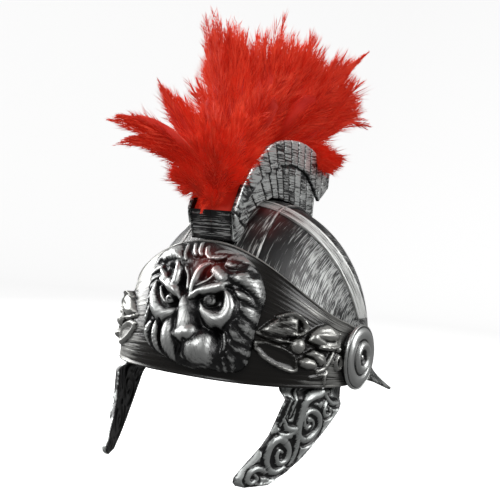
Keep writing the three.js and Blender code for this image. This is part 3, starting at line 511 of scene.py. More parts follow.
def skull_chunks():
    columns, rows = 200, 112
    u, v = np.meshgrid(np.arange(columns) / columns, np.linspace(0, 1, rows) ** 0.9, indexing="ij")
    outer = skull_points(u, v)
    normal = normals_of(outer, wrap=True)
    normal[:, 0] = (0, 0, 1)
    deep_inside = np.array([0, 0, DOME_Z - 40])
    facing = (normal * (outer - deep_inside)).sum(-1, keepdims=True)
    normal = np.where(facing < 0, -normal, normal)
    inner = outer - normal * SKULL_WALL
    points = shell_of(outer, inner[:, ::-3][:, ::-1])
    side = points.shape[1] - rows
    # Brush strokes run over the dome from front to back, and outwards over the neck guard.
    turn = 2 * np.pi * u
    share = np.clip(outer[..., 0] / DOME_A, -0.995, 0.995)
    over = np.arctan2(outer[..., 2] - DOME_Z, -outer[..., 1])
    along, across = 112 * over, 94 * np.arcsin(share)
    neck = ramp(0.72, 0.8, v)
    grain = np.stack([mix(along, outer[..., 1] * 0.4 + outer[..., 2], neck),
                      mix(across, 92 * turn, neck), 0.3 * across], -1)
    # Darker near the crest, brighter out on the sides, on the neck guard and at its rim.
    swept = 0.11 + 0.34 * ramp(46, 76, np.abs(across)) + 0.05 * np.sin(0.05 * along + 1)
    swept = mix(swept, 0.42 + 0.06 * np.sin(5 * turn), neck) + 0.16 * ramp(0.95, 1.0, v)
    full_grain = np.concatenate([grain, np.repeat(grain[:, -1:], side, 1)], 1)
    wear_and_light = np.concatenate([swept, np.repeat(swept[:, -1:], side, 1) - 0.05], 1)
    faces = grid_faces(columns, points.shape[1], wrap=True)
    skull = chunk(points, faces, wear_and_light, full_grain, red_reflection=plume_reflection_on_dome(points))
    # The inside starts past the rim, and is black.
    inside = (np.arange(len(faces)) % (points.shape[1] - 1)) >= rows + 4
    return [dict(skull, faces=faces[~inside]),
            dict(skull, faces=faces[inside], look=1, wear_and_light=np.full(len(skull["points"]), 0.4))]


def plume_reflection_on_dome(points):
    """Painted reflection of the red plume on the dome and its straps, in front of the crest's arch."""
    def near(place, reach, most):
        return most * np.exp(-((points - np.array(place)) ** 2).sum(-1) / reach ** 2)
    return near((24, -40, 126), 12, 0.34) + near((28, -62, 110), 9, 0.14)


def on_dome(x, y, z, raised):
    normal = unit(np.stack([x / DOME_A ** 2, y / DOME_B ** 2, (z - DOME_Z) / DOME_C ** 2], -1))
    return np.stack([x, y, z], -1) + normal * raised[..., None]


# Across a strap: millimetres in from its edge and height over the dome.
STRAP_SECTION = [
    (0.0, -0.8), (0.0, 1.5), (0.25, 2.0), (0.8, 2.25), (1.5, 2.1), (2.1, 1.45), (2.8, 1.25),
]


def strap_chunk(place, stations, half_at, tone):
    """A strap along the dome. place(t, s, raised) gives points at share t, s mm off its middle,
    and half_at(t) its half-width."""
    t = np.linspace(0, 1, stations)
    inset, height = np.array(STRAP_SECTION).T
    left = inset - half_at(t)[:, None]
    right = -left[:, ::-1]
    middle = np.linspace(0, 1, 9)[None, 1:-1]
    s = np.concatenate([left, mix(left[:, -1:], right[:, :1], middle), right], 1)
    h = np.concatenate([height, np.full(middle.size, height[-1]), height[::-1]])
    h = np.broadcast_to(h, s.shape).copy()
    h[[0, -1]] = height[0]
    points = place(np.broadcast_to(t[:, None], s.shape), s, h)
    length = np.cumsum(np.r_[0, np.linalg.norm(np.diff(points[:, 10], axis=0), axis=-1)])
    grain = np.stack([np.broadcast_to(length[:, None], s.shape), s, h * 3], -1)
    wear_and_light = tone + 0.42 * np.clip((h - 1.5) / 0.7, 0, 1) - 0.3 * (h < 0)
    return chunk(points, grid_faces(*s.shape), wear_and_light, grain, look=2, red_reflection=plume_reflection_on_dome(points))


def long_strap():
    """From the brow under the crest to the nape, by degrees up from the front."""
    front, wide_to, back = 33.0, 85.0, 176.0

    def place(t, s, raised):
        angle = np.radians(mix(front, back, t))
        shrink = np.sqrt(1 - (s / DOME_A) ** 2)
        return on_dome(s, -DOME_B * shrink * np.cos(angle),
                       DOME_Z + DOME_C * shrink * np.sin(angle), raised)

    def half_at(t):
        return mix(34.5, 27.0, ramp(front, wide_to, mix(front, back, t)))
    return strap_chunk(place, 220, half_at, 0.14)


def cross_strap():
    """From side to side, by degrees off the top; its ends swing back and widen."""
    reach, foot = 77, 82

    def place(t, s, raised):
        tilt = reach * (2 * t - 1)
        y = -34 + 42 * (np.abs(tilt) / foot) ** 1.6 + s
        shrink = np.sqrt(1 - (y / DOME_B) ** 2)
        angle = np.radians(tilt)
        return on_dome(DOME_A * shrink * np.sin(angle), y,
                       DOME_Z + DOME_C * shrink * np.cos(angle), raised)

    def half_at(t):
        return mix(7.5, 12.0, (np.abs(2 * t - 1) * reach / foot) ** 2)
    return strap_chunk(place, 200, half_at, 0.66)


# Brow band.

def band_shrink(z):
    return np.sqrt(1 - (z / BAND_NARROW_Z) ** 2)


def band_radius(turn, z):
    a, b = BAND_A * band_shrink(z), BAND_B * band_shrink(z)
    power = (np.abs(np.sin(turn)) / a) ** BAND_POWER + (np.abs(np.cos(turn)) / b) ** BAND_POWER
    skull = dome_radius(turn) * dome_shrink(z) + SEAT_GAP + BAND_WALL
    return np.maximum(power ** (-1 / BAND_POWER), skull)


def band_at(turn, z):
    r = band_radius(turn, z)
    return np.stack([r * np.sin(turn), -r * np.cos(turn), z + 0 * turn], -1)


def band_end_turn(z):
    """How far round the band goes at a height, up to the round seat of its rosette."""
    rise = np.minimum(ROSETTE_SEAT - 1, np.abs(z - PIVOT_Z))
    end_y = PIVOT_Y + np.sqrt(ROSETTE_SEAT ** 2 - rise ** 2)
    low, high = np.full(np.shape(z), math.radians(60)), np.full(np.shape(z), math.radians(100))
    for _ in range(30):
        turn = (low + high) / 2
        before = -band_radius(turn, z) * np.cos(turn) < end_y
        low, high = np.where(before, turn, low), np.where(before, high, turn)
    return low


def band_edges(side):
    """Heights of the band's lower and upper edge, at a share of the way to either end."""
    top = np.full(np.shape(side), 60.0)
    for _ in range(12):
        x = band_at(side * band_end_turn(top), top)[..., 0]
        wanted = np.maximum(BAND_END_TOP, BAND_TOP - BAND_TOP_FALL * (x / DOME_A) ** 2)
        top = mix(top, wanted, 0.7)
    zero = np.zeros(np.shape(side))
    x = band_at(side * band_end_turn(zero), zero)[..., 0]
    return -1.6 * (x / BAND_A) ** 4, top


# The flowers on each side, as places (arc from the middle of the brow, z).
BUD = [
    (53.4, 37.8), (60.1, 44.2), (67.1, 48.6), (75.0, 51.4), (82.2, 50.2), (87.3, 45.8),
    (89.1, 41.4), (87.0, 37.4), (82.8, 35.4), (75.0, 34.2), (67.4, 33.0), (61.0, 33.8),
]
LOWER_PETAL = [
    (50.5, 25.0), (57.4, 18.2), (65.0, 13.8), (73.5, 11.0), (79.2, 9.4), (84.3, 10.6),
    (84.9, 13.8), (84.0, 18.2), (81.9, 22.6), (75.3, 27.0), (66.5, 30.0), (59.2, 31.8),
    (50.5, 31.0),
]
SECOND_BUD = [
    (89.7, 32.6), (92.6, 38.6), (100.9, 43.0), (110.4, 44.6), (118.9, 41.4), (123.1, 35.8),
    (122.5, 30.6), (117.5, 27.0), (109.0, 26.6), (101.5, 28.2), (95.6, 30.2),
]
THIRD_PETAL = [
    (88.5, 23.4), (95.9, 27.0), (104.7, 24.6), (109.6, 18.2), (109.3, 14.2), (102.3, 15.4),
    (95.0, 20.6),
]
FOURTH_PETAL = [
    (83.0, 19.4), (90.0, 21.8), (96.5, 20.0), (99.8, 16.2), (98.0, 12.6), (90.6, 12.6),
    (84.5, 14.8),
]
# (arc, z, radius, height) stations of thin raised lines and beads.
BAND_LINES = [
    [(66.0, 48.0, 1.0, 5.6), (75.6, 50.4, 1.3, 7.6), (82.2, 48.4, 1.6, 8.6), (86.6, 44.4, 1.6, 8.4),
     (87.8, 40.6, 1.5, 7.4), (84.5, 37.0, 1.3, 6.6), (77.0, 36.4, 1.0, 6.4)],
    [(52.5, 36.2, 1.2, 2.4), (61.0, 33.2, 1.4, 3.4), (67.4, 32.2, 1.4, 3.8), (75.8, 31.6, 1.0, 3.4)],
    [(82.2, 29.0, 5.2, 7.0), (82.3, 29.1, 5.2, 7.0)],
    [(101.0, 28.6, 1.4, 6.0), (110.0, 28.0, 1.9, 8.4), (118.0, 29.0, 1.7, 7.8), (121.6, 32.6, 1.3, 6.6),
     (121.0, 37.5, 1.2, 6.8)],
    [(117.5, 24.2, 1.8, 2.6), (114.4, 20.2, 1.9, 3.0), (111.3, 16.0, 1.8, 2.8), (107.8, 12.8, 1.6, 2.4),
     (101.6, 11.0, 1.4, 1.8)],
    [(114.4, 20.6, 1.7, 2.6), (118.6, 17.5, 1.4, 1.8)],
    [(125.3, 21.8, 1.2, 2.8), (129.3, 18.6, 1.3, 3.0), (129.3, 14.6, 1.3, 3.0), (126.1, 12.2, 1.3, 2.8),
     (122.4, 15.0, 1.2, 2.8), (122.2, 18.8, 1.2, 2.8), (125.3, 21.8, 1.2, 2.8)],
    [(125.6, 26.4, 2.0, 3.0), (125.8, 26.2, 2.0, 3.0)],
    [(112.6, 10.0, 1.3, 1.6), (110.2, 6.6, 1.5, 1.9), (111.0, 2.4, 1.2, 1.2)],
    [(96.0, 6.2, 1.2, 0.8), (104.0, 7.6, 1.6, 1.2), (112.6, 9.0, 1.2, 1.2)],
]
BAND_GROOVES = [
    [(97.0, 35.5, 1.6, 1.2), (106.0, 32.6, 1.8, 2.4), (115.0, 32.4, 1.6, 2.6)],
    [(62.0, 39.5, 1.2, 0.7), (70.0, 41.5, 1.4, 1.0), (77.0, 42.5, 1.2, 0.8)],
    [(95.0, 38.0, 1.0, 0.7), (102.0, 39.5, 1.4, 0.9), (110.0, 39.0, 1.2, 0.7)],
    [(93.0, 23.4, 0.9, 0.8), (100.0, 22.2, 1.2, 1.0), (105.5, 19.0, 1.0, 0.8)],
]
BAND_DENTS = [
    # arc, z, half-width, half-height, depth
    (83.6, 42.6, 2.8, 4.4, 5.6),
    (119.2, 33.6, 2.2, 2.8, 5.0),
    (106.4, 16.8, 1.9, 1.6, 3.0),
]


def band_relief():
    relief = Relief((0, -3), (150, 99), 0.36)
    relief.puff(LOWER_PETAL, 2.8, 3.4, rim=0.35, scoop=1.7)
    relief.puff(BUD, 6.4, 8.0)
    relief.puff(SECOND_BUD, 8.2, 8.0)
    relief.puff(THIRD_PETAL, 6.0, 4.5)
    relief.puff(FOURTH_PETAL, 6.6, 4.2)
    relief.strokes(BAND_LINES, skirt=1.25, power=0.6)
    relief.grooves(BAND_GROOVES)
    relief.dents(BAND_DENTS)
    relief.h = soften(np.maximum(relief.h, 0), 1.1)
    return relief


def band_chunks():
    columns, rows, back_rows = 440, 102, 12
    table_turn = np.radians(np.linspace(0, 100, 400))
    line = band_at(table_turn, np.full(400, 30.0))
    table_arc = np.cumsum(np.r_[0, np.linalg.norm(np.diff(line, axis=0), axis=-1)])
    side = np.linspace(-1, 1, columns)
    low, top = (edge[:, None] for edge in band_edges(side))
    z = mix(low, top, np.linspace(0, 1, rows)[None])
    turn = side[:, None] * band_end_turn(z)
    base = band_at(turn, z)
    normal = normals_of(base)
    outward = (normal[..., :2] * base[..., :2]).sum(-1, keepdims=True)
    normal = np.where(outward < 0, -normal, normal)
    relief = band_relief()
    arc = np.interp(np.abs(turn), table_turn, table_arc)
    raised = relief.at(relief.h, arc, z)
    proud = relief.at(relief.proud(1.6, 5.0, 0.30, 0.16), arc, z)
    lip = 0.8 * ridge(top - z, 0.7, 0.8) + 0.5 * ridge(z - low, 0.9, 0.9)
    # Long shallow scratches run with the band and close up towards its ends.
    share = (z - low) / (top - low)
    drag = 0.10 * np.sin(share * 95 + 2.0 * np.sin(arc * 0.045)) * np.sin(share * 41 + arc * 0.02)
    height = raised + lip + drag * ramp(2.0, 0.3, raised)
    outer = base + normal * height[..., None]
    inner = base - normal * BAND_WALL
    # One closed strip: up the outer face, over the top edge and down the inner face.
    picks = np.round(np.linspace(rows - 1, 0, back_rows)).astype(int)
    points = np.concatenate([outer, inner[:, picks]], 1)
    grain = np.stack([np.sign(turn) * arc, share * 66, raised * 1.5], -1)
    grain = np.concatenate([grain, grain[:, picks]], 1)
    # Darker over the brow, brighter towards the ends and along the top; the extra silver on the
    # wearer's right is a painted highlight of the light from that side.
    wear_and_light = 0.10 + proud + 0.52 * ramp(60, 132, arc) + 0.54 * ramp(28, 64, arc) * (turn < 0)
    wear_and_light = wear_and_light + 0.60 * ramp(1.8, 0.5, top - z) - 0.06 * ramp(0.35, 0.0, share)
    wear_and_light = wear_and_light - 0.22 * ramp(0.5, 2.5, raised) * (proud < -0.1)
    wear_and_light = np.clip(wear_and_light + 0.9 * drag, 0, 1)
    wear_and_light = np.concatenate([wear_and_light, np.full((columns, back_rows), 0.05)], 1)
    last = rows + back_rows
    bottom = np.arange(columns - 1) * last
    closing = np.stack([bottom, bottom + last - 1, bottom + 2 * last - 1, bottom + last], -1)
    first_end, last_end = (zipped(start + np.arange(rows), start + np.arange(last - 1, rows - 1, -1))
                           for start in (0, (columns - 1) * last))
    return [chunk(points, np.concatenate([grid_faces(columns, last), closing]), wear_and_light, grain),
            chunk(points, np.concatenate([first_end, last_end[:, ::-1]]), wear_and_light, grain)]


# Lion mask.

LION_X, LION_Z = 4.5, 50.0
MANE_OUTLINE = [
    # degrees round from the wearer's left, reach from the middle of the face
    (0, 46), (20, 48.5), (45, 47), (75, 43.5), (105, 49), (145, 55), (180, 45.5), (215, 47.3),
    (255, 42.5), (285, 44.5), (315, 57), (345, 46), (360, 46),
]


def mane_radius(angle):
    """The mask's reach at an angle round it."""
    degrees = np.degrees(angle) % 360
    reach = np.zeros(np.shape(angle))
    for (d0, r0), (d1, r1) in zip(MANE_OUTLINE[:-1], MANE_OUTLINE[1:]):
        here = (degrees >= d0) & (degrees <= d1)
        reach = np.where(here, mix(r0, r1, ramp(d0, d1, degrees)), reach)
    return reach


# Folds of the face and locks of the mane: rows of (x, z, radius, height) stations on the band.
FACE = [
    [(-1.2, 53.4, 4.6, 11), (0.2, 49.0, 6, 12.4), (2.6, 42.2, 7, 14), (4.7, 35.5, 8, 15.6)],
    [(2.3, 30.0, 6, 15.5), (7.3, 31.0, 7.4, 18.2), (9.5, 31.2, 6, 16.5)],
    [(-1.7, 28.6, 3.6, 13.5), (2.0, 26.3, 3, 13.5), (8.4, 25.5, 3.4, 14.5), (10.9, 28.8, 3.6, 14)],
    [(-5.2, 53.9, 2.6, 11.5), (-9.5, 58.1, 4, 13.4), (-16.1, 61.5, 4, 13.2),
     (-24.0, 65.1, 3, 11.5)],
    [(4.0, 55.5, 3, 12.5), (9.4, 59.4, 4.2, 13.6), (17.7, 62.4, 4.6, 14), (24.3, 65.1, 4.4, 13.8),
     (27.5, 67.1, 3, 10.5)],
    [(-14.8, 79.6, 2.4, 10), (-12.2, 72.4, 3, 12.5), (-11.2, 64.1, 3.2, 13)],
    [(-26.4, 70.8, 2.4, 10.5), (-20.4, 66.8, 3, 12), (-13.4, 62.6, 3.4, 13)],
    [(4.2, 56.6, 2.8, 12.5), (3.6, 63.6, 3.2, 13), (4.4, 70.7, 3.4, 13), (6.3, 76.4, 3.2, 12),
     (10.5, 79.7, 2.6, 10.5)],
    [(6.3, 63.1, 1.8, 12), (12.1, 67.1, 2, 12.3), (18.1, 72.2, 2, 12.2)],
    [(17.5, 74.6, 5.2, 12.2), (23.5, 70.4, 5.8, 13)],
    [(-7.1, 75.1, 1.6, 9.5), (-4.0, 69.1, 2, 10.5), (-0.5, 61.2, 2.2, 11)],
    [(-23.4, 59.5, 1.2, 10.5), (-20.1, 54.3, 1.8, 11.6), (-16.4, 50.1, 1.8, 11.6),
     (-11.7, 47.0, 1.4, 10.8)],
    [(10.6, 54.0, 1.2, 10.8), (13.5, 50.1, 1.6, 11.8), (16.7, 48.1, 1.4, 11.8)],
    [(-29.0, 61.2, 2.2, 10), (-28.2, 53.9, 4.2, 11.8), (-23.7, 46.1, 5.8, 12.8),
     (-15.8, 41.3, 6.6, 13.2), (-9.7, 42.1, 5.4, 12.8), (-6.7, 45.1, 3.2, 11.5)],
    [(28.5, 61.3, 2.6, 11.5), (32.1, 55.8, 4.6, 13), (33.4, 49.0, 6.2, 14),
     (30.5, 43.5, 7.2, 14.4), (25.0, 42.4, 7, 14), (19.1, 44.7, 5, 13), (14.7, 47.7, 3, 12)],
    [(26.2, 40.2, 5, 13.4), (24.5, 36.4, 2, 11)],
    [(-8.6, 36.9, 4.8, 12), (-8.2, 29.7, 6.8, 13.6), (-6.2, 22.0, 7.4, 14),
     (-2.2, 15.4, 6.4, 12.6)],
    [(16.3, 21.3, 11.5, 16.8), (18.0, 20.1, 11.5, 16.6)],
    [(19.3, 27.0, 5.5, 13.5), (23.1, 28.4, 4, 11.5)],
    [(8.4, 23.0, 5, 14), (6.3, 15.6, 4.5, 12)],
    [(-7.9, 10.5, 2.6, 8.5), (1.1, 7.4, 3.4, 9), (9.5, 6.5, 3.8, 9.4), (18.0, 8.2, 3.4, 9)],
    [(32.0, 32.9, 1.6, 9.5), (33.9, 25.2, 1.6, 10), (31.8, 18.8, 1.4, 9)],
]
MANE = [
    [(-20.8, 35.0, 3, 9), (-21.2, 26.8, 4.2, 10.4), (-18.2, 18.0, 4.2, 10.2),
     (-11.5, 10.6, 3.6, 9)],
    [(-26.9, 33.2, 3, 8.5), (-30.4, 25.5, 4.4, 9.2), (-28.1, 17.5, 4.2, 9), (-21.1, 10.5, 3.4, 8)],
    [(-19.2, 26.0, 1.4, 8), (-21.0, 18.5, 1.5, 8.2), (-16.2, 11.0, 1.4, 7.6)],
    [(28.2, 72.5, 5, 10.5), (38.1, 71.7, 7, 12.2), (46.1, 67.2, 7.6, 12), (51.0, 60.3, 6.6, 10.5),
     (51.2, 52.9, 3, 6.5)],
    [(25.7, 75.1, 2, 9), (33.5, 74.6, 2, 10), (39.5, 73.7, 1.8, 9.6)],
    [(34.4, 61.0, 4.4, 10.5), (41.8, 59.0, 4.8, 11), (47.7, 54.5, 4.4, 9.5), (49.9, 48.7, 2, 6)],
    [(38.4, 53.5, 4.2, 10.5), (45.5, 48.4, 5.4, 11.2), (49.4, 42.0, 4.4, 9), (49.3, 35.7, 2, 5.5)],
    [(39.6, 43.7, 4.6, 10.5), (45.2, 37.7, 5.6, 11), (48.8, 31.9, 4, 8.5), (49.1, 26.8, 2, 5)],
    [(36.5, 38.4, 4.2, 10.4), (40.7, 32.0, 5, 10.8), (46.2, 27.7, 4.2, 8.8), (48.7, 23.7, 2.6, 6)],
    [(37.0, 28.0, 3.6, 9.4), (42.8, 23.2, 4.6, 9.6), (48.2, 20.0, 4.2, 8.5),
     (49.2, 15.1, 2.6, 6.5)],
    [(35.8, 20.5, 3, 8.8), (39.6, 16.1, 4, 9.2), (39.9, 9.1, 3.4, 7.6)],
    [(43.1, 18.4, 2.6, 8), (48.0, 15.1, 3.4, 8.6), (47.4, 9.0, 3.4, 7.6), (41.7, 5.8, 2.6, 6.5)],
    [(28.6, 14.6, 2.6, 8.4), (30.4, 9.9, 3, 8.6), (30.0, 5.2, 2.4, 6.8)],
    [(33.4, 16.2, 2.2, 8.4), (35.1, 10.5, 2.8, 8.4), (34.5, 4.9, 2.2, 6.6)],
    [(24.0, 11.9, 2.4, 8), (25.0, 7.1, 2.8, 8), (23.7, 3.3, 2, 6)],
    [(24.4, 85.0, 4, 10), (31.9, 85.5, 4.6, 11), (39.8, 83.5, 4.4, 10.8), (45.2, 78.5, 3.8, 9.8),
     (46.7, 73.0, 3, 8.2), (44.0, 70.2, 2.4, 7)],
    [(36.1, 78.5, 3, 9.4), (37.8, 82.3, 2.6, 9.4)],
    [(24.5, 80.9, 4.4, 10.5), (31.1, 79.5, 4.4, 10.4), (36.5, 76.7, 3.4, 9)],
    [(11.4, 87.5, 2.6, 8.6), (17.8, 89.4, 3, 9.4), (26.3, 89.0, 2.6, 9)],
    [(8.4, 84.5, 3, 9.6), (14.4, 84.6, 3.2, 10.4), (20.2, 86.2, 2.6, 9.6)],
    [(3.2, 91.1, 2.2, 7.6), (5.9, 86.9, 2.8, 9.2), (10.0, 83.6, 2.8, 10)],
    [(-3.1, 93.8, 2, 7), (-0.8, 88.7, 2.6, 9), (1.4, 85.5, 2.2, 9.4)],
    [(-7.9, 92.5, 2, 7), (-5.0, 88.1, 2.6, 9), (-2.8, 85.1, 2, 9.2)],
    [(-14.0, 91.5, 2, 7), (-11.8, 86.4, 2.6, 9), (-9.4, 81.2, 2.4, 10)],
    [(-34.6, 77.9, 4.6, 8.8), (-28.1, 82.7, 6.6, 10.8), (-20.6, 84.5, 7, 11.2),
     (-14.6, 82.3, 4.4, 10.6)],
    [(-39.5, 83.6, 2.6, 7.6), (-38.2, 77.6, 2.8, 8), (-36.9, 73.9, 2, 7)],
    [(-28.5, 73.0, 3.4, 9.6), (-35.3, 70.0, 3.8, 9), (-39.3, 64.2, 2.6, 6.8)],
    [(-28.0, 66.6, 3, 9.2), (-34.6, 63.8, 3, 8.6), (-38.9, 57.8, 2.2, 6.4)],
    [(-28.6, 62.8, 2.2, 8.8), (-34.0, 58.3, 2.6, 8.4), (-37.3, 52.9, 2, 6.4)],
    [(-33.2, 53.3, 2.6, 8.4), (-34.3, 46.9, 3.2, 8.2), (-35.9, 40.3, 2.6, 6.6)],
    [(-30.4, 45.2, 2.6, 8.4), (-32.7, 38.7, 3, 8), (-35.1, 32.0, 2.6, 6.6)],
]
EYES = [
    [(-13.0, 52.3, 3.8, 12.0), (-12.6, 51.3, 3.8, 12.0)],
    [(17.6, 54.9, 4.7, 12.0), (18.6, 53.6, 4.7, 12.0)],
]
PUPILS = [(-12.2, 51.6, 1.5), (18.4, 54.4, 2.2)]


def band_front(x, z, raised):
    """Points raised off the band's front, and its normals there."""
    a, b = BAND_A * band_shrink(z), BAND_B * band_shrink(z)
    share = np.abs(x) / a
    y = -b * (1 - share ** BAND_POWER) ** (1 / BAND_POWER)
    normal = unit(np.stack([np.sign(x) * share ** (BAND_POWER - 1) / a,
                            -(np.abs(y) / b) ** (BAND_POWER - 1) / b,
                            z / BAND_NARROW_Z ** 2 + 0 * x], -1))
    return np.stack([x, y, z + 0 * x], -1) + normal * np.asarray(raised)[..., None], normal


# Broad masses of the face and mane: (x, z, half-width, half-height, lean in degrees, height).
MASSES = [
    (2.0, 47, 37, 47, 0, 7.4),
    (4.0, 42, 9.5, 16, -8, 12.6),
    (18.5, 71.5, 11, 9, 15, 10.8),
    (-18.5, 68, 7.5, 8, -10, 10.4),
    (-15.0, 80.0, 16, 10, 0, 9.4),
    (38.0, 60.0, 16, 14, -30, 9.0),
    (40.0, 32.0, 12, 18, -8, 8.6),
]
# Sockets, nostrils, the hollows of the forehead and ear: (x, z, half-width, half-height, depth).
HOLLOWS = [
    (10.6, 54.6, 2.2, 3.6, 3.6), (24.9, 57.6, 2.0, 2.6, 3.2), (-7.4, 50.4, 1.8, 3.4, 3.6),
    (-19.4, 57.6, 1.8, 2.6, 2.6), (11.6, 70.4, 4.4, 3.0, 2.2), (-18.2, 70.6, 2.2, 4.6, 3.4),
    (-5.6, 64.6, 2.6, 6.5, 4.6), (7.6, 26.8, 1.5, 1.1, 2.6), (-0.4, 25.6, 1.2, 0.9, 1.6),
    (42.6, 76.6, 3.0, 4.4, 3.4), (28.2, 26.4, 3.4, 8.0, 4.4), (26.6, 34.0, 2.4, 3.4, 2.6),
    (-31.0, 78.1, 2.0, 2.6, 1.8), (33.0, 79.6, 2.4, 1.8, 1.4), (0.8, 17.0, 1.3, 4.4, 2.6),
]
FURROWS = [
    [(-17.2, 37.0, 1.2, 2.4), (-17.0, 26.0, 1.2, 2.4), (-12.8, 14.6, 1.1, 1.8)],
    [(-24.4, 37.0, 1.0, 1.8), (-24.6, 25.0, 1.0, 1.8), (-20.0, 13.4, 0.9, 1.4)],
    [(6.4, 11.4, 0.9, 1.4), (14.0, 10.0, 0.9, 1.4), (22.0, 11.0, 0.9, 1.2)],
    [(36.8, 65.2, 0.9, 1.6), (44.6, 60.0, 0.9, 1.4), (50.0, 52.0, 0.8, 1.0)],
    [(28.0, 64.8, 1.4, 2.6), (33.6, 60.4, 1.4, 2.6), (37.4, 53.0, 1.3, 2.4), (36.6, 44.0, 1.3, 2.4),
     (32.0, 36.8, 1.3, 2.4)],
]


def lion_relief():
    relief = Relief((-58, -2), (66, 100), 0.36, floor=2.6)
    for x, z, long, high, lean, height in MASSES:
        lean = math.radians(lean)
        a, b = relief.a - x, relief.b - z
        along, rise = a * math.cos(lean) + b * math.sin(lean), b * math.cos(lean) - a * math.sin(lean)
        share = (along / long) ** 2 + (rise / high) ** 2
        swell = 3.0 + (height - 3.0) * np.clip(1 - share, 0, 1) ** 0.6
        relief.h = np.maximum(relief.h, np.where(share < 1, swell, -FAR))
    relief.h = soften(relief.h, 2.6)
    relief.strokes(MANE, skirt=1.16, power=0.62, base=2.6)
    relief.strokes(FACE, skirt=1.38, power=0.80, base=3.6)
    relief.h = soften(relief.h, 1.2)
    relief.grooves(FURROWS)
    relief.dents(HOLLOWS)
    relief.strokes(EYES, skirt=1.0, power=0.5, base=6.0)
    relief.dents([(x, z, r, r, 1.0) for x, z, r in PUPILS])
    relief.h = soften(relief.h, 1.0) + 0.8
    return relief


def lion_chunks():
    columns, rows, back_rows = 460, 108, 8
    u, v = np.meshgrid(np.arange(columns) / columns, np.linspace(0, 1, rows), indexing="ij")
    angle = 2 * np.pi * u
    reach = mane_radius(angle) + 0.8 * np.sin(9 * angle + 1.2) * np.sin(4 * angle)
    x = LION_X + reach * v * np.cos(angle)
    z = np.clip(LION_Z + reach * v * np.sin(angle), 2.5, 95.8)
    relief = lion_relief()
    edge = np.clip(1 - v ** 9, 0, 1) ** 0.5
    strands = 0.13 * np.sin(angle * 61 + 7 * np.sin(v * 6 + 2 * angle)) * ramp(0.66, 0.85, v)
    height = mix(0.6, relief.at(relief.h, x, z), edge) + strands * edge
    seat, normal = band_front(x, z, np.full(x.shape, SEAT_GAP))
    # The relief rises between the band's own normal and straight forward.
    outer = seat + unit(0.4 * normal + np.array([0, -0.6, 0])) * height[..., None]
    points = np.concatenate([outer, seat[:, ::-1][:, :back_rows]], 1)
    wear_and_light = 0.20 + relief.at(relief.proud(1.2, 4.5, 0.36, 0.17), x, z) + 0.016 * (height - 8)
    for pupil_x, pupil_z, r in PUPILS:
        wear_and_light = wear_and_light * (1 - 0.85 * hill(x, z, pupil_x, pupil_z, r * 1.2, r * 1.2))
    wear_and_light = np.clip(wear_and_light + 0.5 * strands, 0, 1)
    wear_and_light = np.concatenate([wear_and_light, np.full((columns, back_rows), 0.1)], 1)
    # Painted reflection of the red plume on the top of the mane.
    red_reflection = (0.60 * hill(x, z, 9, 78, 9, 8) + 0.22 * hill(x, z, 22, 84, 9, 5)
            + 0.35 * hill(x, z, 2, 84, 5, 7))
    red_reflection = np.concatenate([red_reflection, np.zeros((columns, back_rows))], 1)
    grain = np.stack([x * np.cos(angle) + z * np.sin(angle), angle * 40, height], -1)
    grain = np.concatenate([grain, grain[:, -1:].repeat(back_rows, 1)], 1)
    faces = grid_faces(columns, rows + back_rows, wrap=True)
    return [chunk(points, faces, wear_and_light, grain, red_reflection=red_reflection)]


# Rosettes.

ROSETTE_SECTION = [
    # radius, height over the rim
    (0, 3.9), (0.9, 3.8), (1.7, 3.3), (2.2, 2.4), (2.8, 1.9), (4.0, 2.0), (5.4, 2.9), (6.8, 4.3),
    (8.2, 5.4), (9.6, 5.9), (10.9, 5.6), (12.0, 4.6), (12.8, 3.3), (13.4, 2.6), (14.0, 2.6),
    (14.8, 3.1), (16.2, 3.8), (18.0, 4.1), (19.8, 3.9), (21.2, 3.3), (22.3, 2.4), (23.0, 1.5),
    (23.5, 1.1), (24.0, 1.5), (24.5, 1.8), (24.9, 1.4), (25.1, 0.6), (25.1, -0.4), (24.9, -0.9),
    (24.2, -1.2), (22.6, -1.2), (22.5, -1.6), (22.5, -3.8), (5.0, -3.8), (5.0, -17.1),
    (9.0, -17.1), (9.2, -17.6), (9.2, -18.9), (8.6, -19.3), (0, -19.3),
]


def rosette_chunks(side):
    """A boss turned about its pin, with its rings a little uneven."""
    turns = 108
    section = np.array(ROSETTE_SECTION, float)
    halfway = mix(section[:-1], section[1:], 0.5)
    r, h = np.concatenate([np.stack([section[:-1], halfway], 1).reshape(-1, 2), section[-1:]]).T
    a, rr = np.meshgrid(2 * np.pi * np.arange(turns) / turns, r, indexing="ij")
    hh = np.broadcast_to(h, rr.shape) + 0.12 * np.sin(5 * a) * (rr > 14) * (rr < 21)
    axis = np.array([math.cos(LEAN), -math.sin(LEAN), 0])
    flat = np.array([math.sin(LEAN), math.cos(LEAN), 0])
    up = np.array([0, 0, 1.0])
    points = (np.array([RIM_X, PIVOT_Y, PIVOT_Z]) + axis * hh[..., None]
              + flat * (rr * np.cos(a))[..., None] + up * (rr * np.sin(a))[..., None])
    # Bright on the rings, black in the dish and in the two grooves, dull behind the rim.
    crest = h - np.convolve(np.pad(h, 6, mode="edge"), np.ones(13) / 13, mode="valid")
    wear_and_light = 0.76 + 0.16 * crest - 0.5 * ramp(7.4, 5.6, r) * ramp(1.6, 2.4, r)
    wear_and_light = wear_and_light - 0.40 * ridge(r, 13.6, 0.9) - 0.40 * ridge(r, 23.3, 0.5) + 0.30 * ridge(r, 24.5, 0.5)
    wear_and_light = np.where(h < -0.4, 0.08, np.clip(wear_and_light, 0, 1))
    grain = np.stack([a * 16, rr, hh], -1)
    piece = chunk(points, grid_faces(turns, len(r), wrap=True), np.broadcast_to(wear_and_light, rr.shape),
                  grain, flip=True)
    return [piece] if side > 0 else [mirrored(piece)]


# Cheek guards: a blade cut from an outline, with scrolls raised on its outer face.

